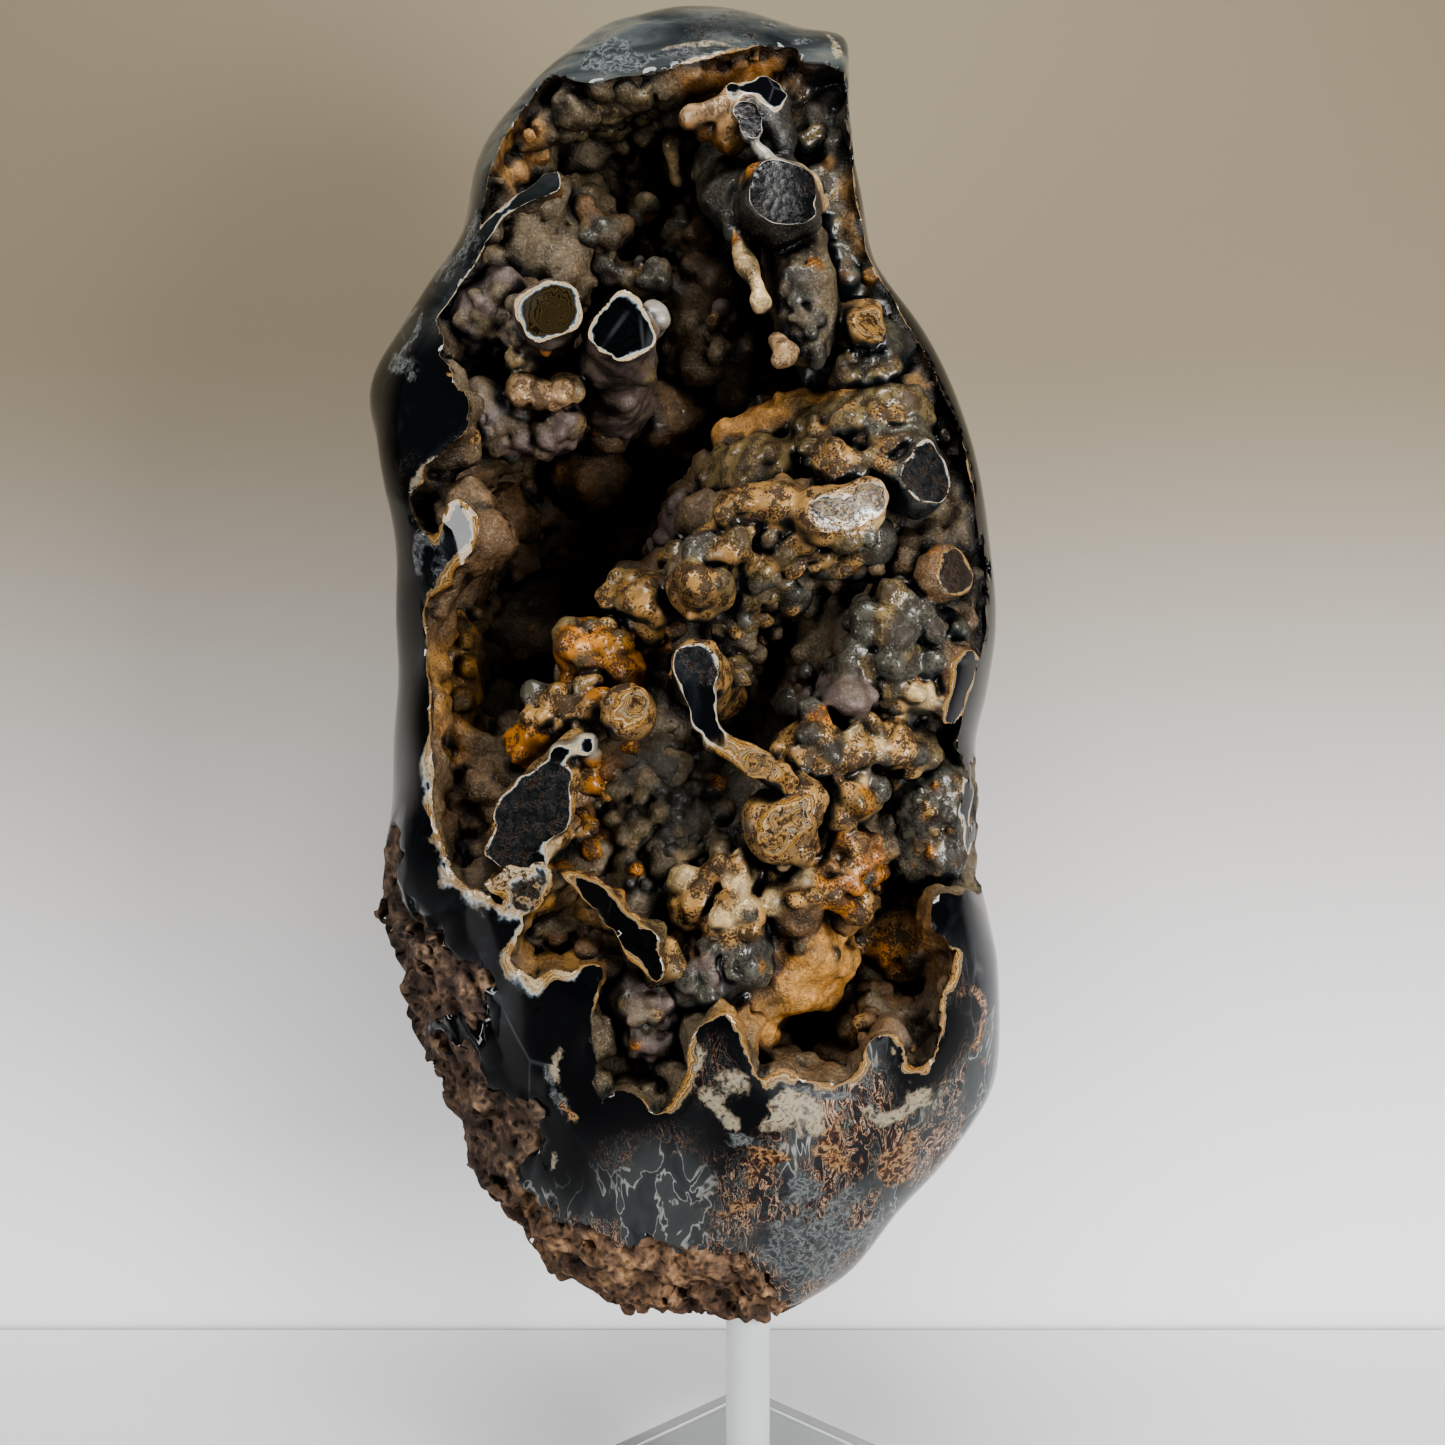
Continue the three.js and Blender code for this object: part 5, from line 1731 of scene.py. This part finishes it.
@dataclass(frozen=True)
class AgateFinish:
    """The stone's finish: polished cut faces with bands along what grew, and grown surfaces."""

    polish: float = 0.05
    ior: float = 1.54
    pit: Colour = (0.028, 0.012, 0.004)
    units: float = 3.0
    cream_bands: tuple[tuple[float, Colour], ...] = (
        (0.00, (0.10, 0.05, 0.02)), (0.12, (0.40, 0.28, 0.15)), (0.30, (0.56, 0.48, 0.34)),
        (0.42, (0.24, 0.14, 0.06)), (0.52, (0.54, 0.45, 0.31)), (0.85, (0.50, 0.41, 0.27)),
        (0.98, (0.14, 0.07, 0.03)), (1.08, (0.54, 0.47, 0.34)), (1.22, (0.28, 0.19, 0.10)),
        (1.32, (0.50, 0.45, 0.34)), (1.60, (0.42, 0.43, 0.41)), (2.05, (0.10, 0.125, 0.145)),
        (2.50, (0.02, 0.024, 0.028)),
    )
    gold_bands: tuple[tuple[float, Colour], ...] = (
        (0.00, (0.05, 0.025, 0.01)), (0.20, (0.32, 0.17, 0.05)), (0.42, (0.12, 0.055, 0.015)),
        (0.62, (0.42, 0.26, 0.10)), (0.95, (0.13, 0.06, 0.018)), (1.20, (0.48, 0.35, 0.19)),
        (1.65, (0.18, 0.09, 0.03)), (2.10, (0.30, 0.24, 0.15)), (2.45, (0.05, 0.045, 0.04)),
    )

    def build(self) -> bpy.types.Material:
        """Makes the material.

        Returns:
            The material.
        """
        s = Shader("agate")
        place = s.place()
        inlay = s.number("inlay")
        crust, breccia, cloud = s.parts(s.attribute("ground"))
        band, gold, rough = s.parts(s.attribute("cut"))
        polished = inlay.over(0.0, 0.05)
        width = band * (0.1 + s.noise(place, 8, 3.0).over(0.33, 0.66) * 0.9)
        fringe = s.noise(place, 1.8, 3.0, 0.6) * 1.2 + s.noise(place, 0.8, 3.0, 0.7) * 1.1
        units = inlay / width + (fringe - 1.15)
        units = s.node("ShaderNodeMath", {"operation": "MAXIMUM"}, {0: units, 1: inlay * 0.3})[0]
        within = units.over(2.3, 2.8)
        stops = [[(d / self.units, c) for d, c in bands] for bands in (self.cream_bands, self.gold_bands)]
        cream, golden = (s.ramp(units / self.units, pair) for pair in stops)
        bands = s.mix((gold + (s.noise(place, 6, 2.0) - 0.5) * 1.2).over(0.35, 0.65), cream, golden)
        blobs = 1 - s.cells(place, 1.7)[0] + s.noise(place, 3.4, 3.0) * 0.6
        crystal = blobs.over(0.70, 0.95) * rough * within
        lines = ((units * 3.2) + (s.noise(place, 3.0, 3.0) * 5.0)).sine().over(0.1, 0.9)
        deep = s.brighter(s.attribute("core"), 1 - lines * 0.75)
        body = self._body_colour(s, place, breccia, cloud)
        holes = (s.noise(place, 0.8, 3.0, 0.65) * 0.7 + s.noise(place, 3.0, 3.0, 0.6) * 0.8).over(0.78, 0.88)
        core = s.mix(crystal * 0.8, s.mix(1.0, deep, body, "ADD"), (0.024, 0.026, 0.026))
        cut = s.mix(holes * rough * 1.4, s.mix(within, bands, core), self.pit)
        cut_roughness = self.polish + within * rough * (0.2 + s.noise(place, 1.6, 2.0) * 0.4)
        cut_height = (blobs * within * 0.35 - holes * 0.3) * rough
        rind, rind_height = self._rind(s, place)
        rind = s.mix(breccia * 0.6, rind, s.mix(1.0, rind, (2.1, 1.95, 1.65), "MULTIPLY"))
        # Three shaders mixed, and not one with mixed sockets, so that a ray works out only its own.
        surface = s.layered(polished, self._stone(s, *self._grown(s, place)),
                            self._stone(s, cut, cut_roughness, cut_height))
        return s.finish(s.layered(crust.over(0.35, 0.55), surface, self._stone(s, rind, 0.72, rind_height)))

    def _stone(self, s: Shader, colour: Value, roughness: "Value | float", height: Value) -> Value:
        """Stone of this colour and roughness, with this relief."""
        return s.principled(Base_Color=colour, Roughness=roughness, IOR=self.ior, Normal=s.bump(height, 0.4))

    def _body_colour(self, s: Shader, place: Value, breccia: Value, cloud: Value) -> Value:
        """The polished outside's own colour, which is added to the core's near black.

        It is black glass with mist and hairs, grey clouds with streaks, or healed breccia, with
        ragged patches of cream, golden brown and grey where they are painted.

        Args:
            s: The shader.
            place: Object coordinates.
            breccia: How broken the stone is.
            cloud: How grey it is.

        Returns:
            The colour.
        """
        mist = s.noise(place, 22, 5.0, 0.6, 0.8).over(0.55, 0.78)
        glass = s.mix(mist, (0.0, 0.0, 0.0), (0.022, 0.027, 0.033))
        veins = s.cells(s.turned(place, (1.0, 1.0, 0.45), (0, 35, 0)), 15, "DISTANCE_TO_EDGE")[0]
        hair = (1 - veins.over(0.0, 0.03)) * s.noise(place, 20, 2.0).over(0.56, 0.7)
        glass = s.mix(hair * 0.2, glass, (0.22, 0.23, 0.24))
        streaks = s.noise(s.turned(place, (0.35, 0.5, 1.1), (0, 12, 0)), 10, 4.0, 0.55, 1.0)
        clouds = s.ramp(streaks, [
            (0.28, (0.020, 0.023, 0.024)), (0.46, (0.055, 0.061, 0.060)), (0.58, (0.105, 0.115, 0.110)),
            (0.66, (0.17, 0.165, 0.135)), (0.74, (0.06, 0.065, 0.065))])
        slanted = s.turned(place, (1.5, 1.0, 0.55), (0, 28, 0))
        blotch = s.noise(slanted, 6.0, 5.0, 0.62, 1.8)
        broken = s.ramp(blotch, [
            (0.30, (0.030, 0.034, 0.036)), (0.42, (0.012, 0.014, 0.016)), (0.455, (0.045, 0.018, 0.010)),
            (0.475, (0.16, 0.060, 0.030)), (0.490, (0.44, 0.31, 0.21)), (0.502, (0.50, 0.41, 0.30)),
            (0.514, (0.13, 0.045, 0.024)), (0.535, (0.016, 0.014, 0.014)), (0.580, (0.035, 0.040, 0.042)),
            (0.602, (0.26, 0.24, 0.20)), (0.615, (0.040, 0.044, 0.045)), (0.70, (0.025, 0.029, 0.031))])
        slate = s.ramp(s.noise(slanted, 11, 3.0, 0.5, 0.8), [
            (0.35, (0.050, 0.055, 0.056)), (0.485, (0.060, 0.066, 0.066)), (0.497, (0.30, 0.30, 0.28)),
            (0.506, (0.30, 0.30, 0.28)), (0.52, (0.045, 0.050, 0.052)), (0.65, (0.030, 0.033, 0.035))])
        patchy = s.noise(place, 26, 2.0).over(0.42, 0.56)
        colour = s.mix(breccia, s.mix(cloud, glass, clouds), s.mix(patchy, slate, broken))
        fine = s.noise(place, 2.4, 4.0, 0.60, 0.6)
        ragged = (s.noise(place, 5, 4.0, 0.6) - 0.5) * 1.0 + (fine - 0.5) * 0.7
        looks = (
            [(0.32, (0.030, 0.030, 0.030)), (0.39, (0.15, 0.14, 0.12)), (0.46, (0.30, 0.26, 0.19)),
             (0.54, (0.38, 0.33, 0.24)), (0.60, (0.24, 0.19, 0.13)), (0.68, (0.06, 0.05, 0.040))],
            [(0.34, (0.020, 0.012, 0.008)), (0.43, (0.075, 0.030, 0.014)), (0.49, (0.28, 0.15, 0.065)),
             (0.53, (0.40, 0.27, 0.15)), (0.58, (0.10, 0.042, 0.020)), (0.66, (0.025, 0.016, 0.012))],
            [(0.32, (0.030, 0.034, 0.036)), (0.44, (0.070, 0.078, 0.080)), (0.50, (0.115, 0.125, 0.125)),
             (0.53, (0.24, 0.24, 0.23)), (0.56, (0.085, 0.092, 0.092)), (0.68, (0.035, 0.040, 0.042))])
        for weight, stops in reversed(list(zip(s.parts(s.attribute("paint")), looks))):
            colour = s.mix((weight + ragged * 0.8).over(0.34, 0.56), colour, s.ramp(fine, stops))
        return colour

    def _grown(self, s: Shader, place: Value) -> tuple[Value, Value, Value]:
        """The grown surfaces: lit crowns and shaded flanks by how they face and how open they lie, which is
        painted light and shade over their own colours, pits, painted shade in crevices and recesses, and sparkle
        with painted glints.

        Args:
            s: The shader.
            place: Object coordinates.

        Returns:
            Colour, roughness and height.
        """
        pits, gloss, sparkle = s.parts(s.attribute("surface"))
        near, wide, facing = s.parts(s.attribute("open"))
        blotch = s.noise(place, 6.5, 4.0, 0.6)
        # Painted light and shade: the lit crown colour where the surface faces up and front and lies open, the
        # darker flank colour where it faces away or lies in crevices.
        lit_crown = (facing * 0.75 + near * 0.35 + wide * 0.45 + (blotch - 0.5) * 1.2).over(0.68, 1.26)
        colour = s.mix(lit_crown, s.attribute("shaded_flank"), s.attribute("lit_crown"))
        mottle = s.noise(place, 2.6, 4.0, 0.6)
        colour = s.brighter(colour, 0.5 + mottle)
        speck = s.noise(place, 0.6, 3.0, 0.65)
        cluster = s.noise(place, 4.2, 3.0, 0.6)
        dark = (speck * 0.7 + cluster * 0.8 + lit_crown * 0.14).over(0.87, 0.95) * pits
        colour = s.mix(dark * 0.9, colour, self.pit)
        grain = s.cells(place, 0.42)
        painted_glint = s.parts(grain[1])[0].over(0.82, 0.98) * sparkle
        crumb = s.noise(place, 1.1, 4.0, 0.7)
        colour = s.brighter(colour, 1 + (crumb - 0.5) * sparkle * 1.8)
        # Painted glints: bright specks mixed into the colour, where the grain is also less rough.
        colour = s.mix(painted_glint * 0.35, colour, (0.42, 0.36, 0.28))
        # Painted shade: darker where the space before the surface is closed in, in crevices and recesses.
        colour = s.brighter(colour, (0.12 + near.over(0.0, 0.85) * 0.88) * (0.5 + wide.over(0.1, 0.8) * 0.5))
        roughness = (0.56 - gloss * 0.45) + (mottle - 0.5) * 0.25 - painted_glint * 0.3 + dark * 0.3
        height = (1 - dark) * 0.45 + mottle * 0.3 + sparkle * crumb * 1.5
        return colour, roughness.clamped(), height

    def _rind(self, s: Shader, place: Value) -> tuple[Value, Value]:
        """The unpolished crust: porous brown matrix.

        Args:
            s: The shader.
            place: Object coordinates.

        Returns:
            Colour and height.
        """
        coarse = s.noise(place, 7, 6.0, 0.7, 0.5)
        holes = s.cells(place, 2.4)[0]
        colour = s.ramp(coarse, [
            (0.30, (0.010, 0.007, 0.005)), (0.43, (0.050, 0.031, 0.022)), (0.53, (0.105, 0.066, 0.044)),
            (0.61, (0.20, 0.13, 0.082)), (0.69, (0.28, 0.185, 0.11)), (0.77, (0.08, 0.045, 0.03))])
        colour = s.brighter(colour, 0.35 + holes.over(0.1, 0.5) * 0.85)
        return colour, coarse * 1.6 + holes.over(0.05, 0.45) * 0.9


@dataclass(frozen=True)
class AcrylicFinish:
    """Acrylic, frosted or clear, with faint wear."""

    name: str
    tint: Colour
    roughness: float
    wear: float
    transmission: float = 1.0
    ior: float = 1.49

    def build(self) -> bpy.types.Material:
        """Makes the material."""
        s = Shader(self.name)
        place = s.place()
        haze = s.noise(place, 6, 3.0)
        scratch = s.noise(s.turned(place, (6.0, 6.0, 0.6), (0, 0, 20)), 3, 3.0)
        roughness = self.roughness + (haze - 0.5) * self.wear + (scratch - 0.5) * self.wear
        colour = s.mix(haze * 0.25, self.tint, tuple(0.93 * c for c in self.tint))
        return s.finish(s.principled(
            Base_Color=colour, Roughness=roughness.clamped(), IOR=self.ior,
            Transmission_Weight=self.transmission))


@dataclass
class Stand:
    """The frosted rod and the clear plate that it stands in."""

    sides: int = 96
    rod_chamfer: float = 0.4
    frosted: AcrylicFinish = AcrylicFinish("frosted_acrylic", (0.95, 0.97, 0.98), 0.5, 0.12, 0.5)
    clear: AcrylicFinish = AcrylicFinish("clear_acrylic", (0.97, 0.99, 0.99), 0.03, 0.02)

    def build(self) -> list[bpy.types.Object]:
        """Makes the rod and dresses the plate."""
        rod = self._rod()
        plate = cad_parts["acrylic_plate"]
        plate.data.materials.clear()
        plate.data.materials.append(self.clear.build())
        plate.visible_shadow = False
        return [rod]

    def _rod(self) -> bpy.types.Object:
        """A cylinder with chamfered ends: a profile of height and radius turned round the axis."""
        low, high = (np.array(v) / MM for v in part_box("acrylic_rod"))
        c, r = self.rod_chamfer, ROD_DIAMETER / 2
        profile = np.array([(low[2], 0), (low[2], r - c), (low[2] + c, r), (high[2] - c, r),
                            (high[2], r - c), (high[2], 0)])
        angle = np.linspace(0, 2 * math.pi, self.sides, endpoint=False)
        ring = profile[1:-1]
        x = ring[:, 1:] * np.cos(angle)
        y = ring[:, 1:] * np.sin(angle)
        z = np.broadcast_to(ring[:, :1], x.shape)
        points = np.stack([x, y, z], axis=-1).reshape(-1, 3)
        i = np.arange(self.sides)
        j = (i + 1) % self.sides
        faces = [tuple(row) for k in range(len(ring) - 1)
                 for row in np.stack([k * self.sides + i, k * self.sides + j,
                                      (k + 1) * self.sides + j, (k + 1) * self.sides + i], 1).tolist()]
        faces.append(tuple(i[::-1].tolist()))
        faces.append(tuple((len(ring) - 1) * self.sides + i))
        mesh = bpy.data.meshes.new("frosted_rod")
        mesh.from_pydata((points * MM).tolist(), [], faces)
        mesh.polygons.foreach_set("use_smooth", np.ones(len(mesh.polygons), bool))
        mesh.set_sharp_from_angle(angle=math.radians(30))
        rod = bpy.data.objects.new("frosted_rod", mesh)
        bpy.context.scene.collection.objects.link(rod)
        mesh.materials.append(self.frosted.build())
        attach(rod, BODY)
        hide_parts("acrylic_rod")
        return rod


@dataclass
class Studio:
    """A table, pale at the back and painted darker at the front as painted shade, a pale wall behind it with
    painted light low down and painted shade high up, and soft light.
    """

    table_back: float = 154.0
    half_width: float = 1400.0
    wall_gap: float = 2.0
    wall_top: float = 1500.0
    contrast: str = "AgX - High Contrast"
    wall_low_painted_light: Colour = (0.86, 0.86, 0.875)
    wall_high_painted_shade: Colour = (0.265, 0.222, 0.155)

    def build(self) -> None:
        """Makes the stage and the lights."""
        t, h = self.table_back, self.half_width
        table = self._plane("table", [(-h, -h, 0), (h, -h, 0), (h, t, 0), (-h, t, 0)])
        s = Shader("table")
        # Painted shade: the table darkens towards the front.
        base = s.mix(s.parts(s.place())[1].over(-200 * MM, 80 * MM), (0.16, 0.155, 0.15), (0.86, 0.86, 0.86))
        table.data.materials.append(s.finish(s.principled(Base_Color=base, Roughness=0.3)))
        w, top = t + self.wall_gap, self.wall_top
        wall = self._plane("wall", [(-h, w, -60), (h, w, -60), (h, w, top), (-h, w, top)])
        s = Shader("wall")
        height = s.parts(s.place())[2]
        # Painted light and shade on the wall: bright and neutral low down, dark and warm high up.
        base = s.mix(height.over(10 * MM, 390 * MM), self.wall_low_painted_light, self.wall_high_painted_shade)
        rear = s.node("ShaderNodeNewGeometry", {}, {})[6]
        clear = s.node("ShaderNodeBsdfTransparent", {}, {})[0]
        # The wall is clear from its rear face, so that the stone's back can be looked at too.
        wall.data.materials.append(s.finish(s.layered(rear, s.principled(Base_Color=base, Roughness=0.7), clear)))
        self._light("key", (400, -460, 210), (0, 60, 250), 300, 300, 3.6)
        self._light("front", (-40, -420, 860), (0, 0, 230), 460, 340, 4.2)
        self._light("left_strip", (-520, -330, 200), (-40, 0, 180), 170, 420, 1.4)
        world = bpy.data.worlds.new("room")
        world.use_nodes = True
        world.node_tree.nodes["Background"].inputs[0].default_value = (0.75, 0.78, 0.82, 1)
        world.node_tree.nodes["Background"].inputs[1].default_value = 0.13
        bpy.context.scene.world = world
        bpy.context.scene.view_settings.look = self.contrast

    @staticmethod
    def _plane(name: str, corners: list[Colour]) -> bpy.types.Object:
        """A flat stage piece."""
        mesh = bpy.data.meshes.new(name)
        mesh.from_pydata([Vector(c) * MM for c in corners], [], [(0, 1, 2, 3)])
        made = bpy.data.objects.new(name, mesh)
        bpy.context.scene.collection.objects.link(made)
        return made

    @staticmethod
    def _light(name: str, place: Colour, aim: Colour, width: float, height: float, watts: float) -> None:
        """A soft rectangular light, unseen by the camera itself."""
        data = bpy.data.lights.new(name, "AREA")
        data.shape = "RECTANGLE"
        data.size, data.size_y = width * MM, height * MM
        data.energy = watts
        made = bpy.data.objects.new(name, data)
        made.location = Vector(place) * MM
        made.rotation_euler = (Vector(aim) - Vector(place)).to_track_quat("-Z", "Y").to_euler()
        made.visible_camera = False
        bpy.context.scene.collection.objects.link(made)


def main() -> None:
    """Builds the scene: camera, stage, stone and stand."""
    logging.basicConfig(level=logging.INFO, format="%(message)s")
    VIEW.add_camera()
    Studio().build()
    stone = Stone()
    agate = AgateFinish().build()
    for piece in stone.build():
        piece.data.materials.append(agate)
    for piece in Stand().build():
        log.info("%s: %d faces", piece.name, len(piece.data.polygons))


if __name__ == "__main__":
    main()
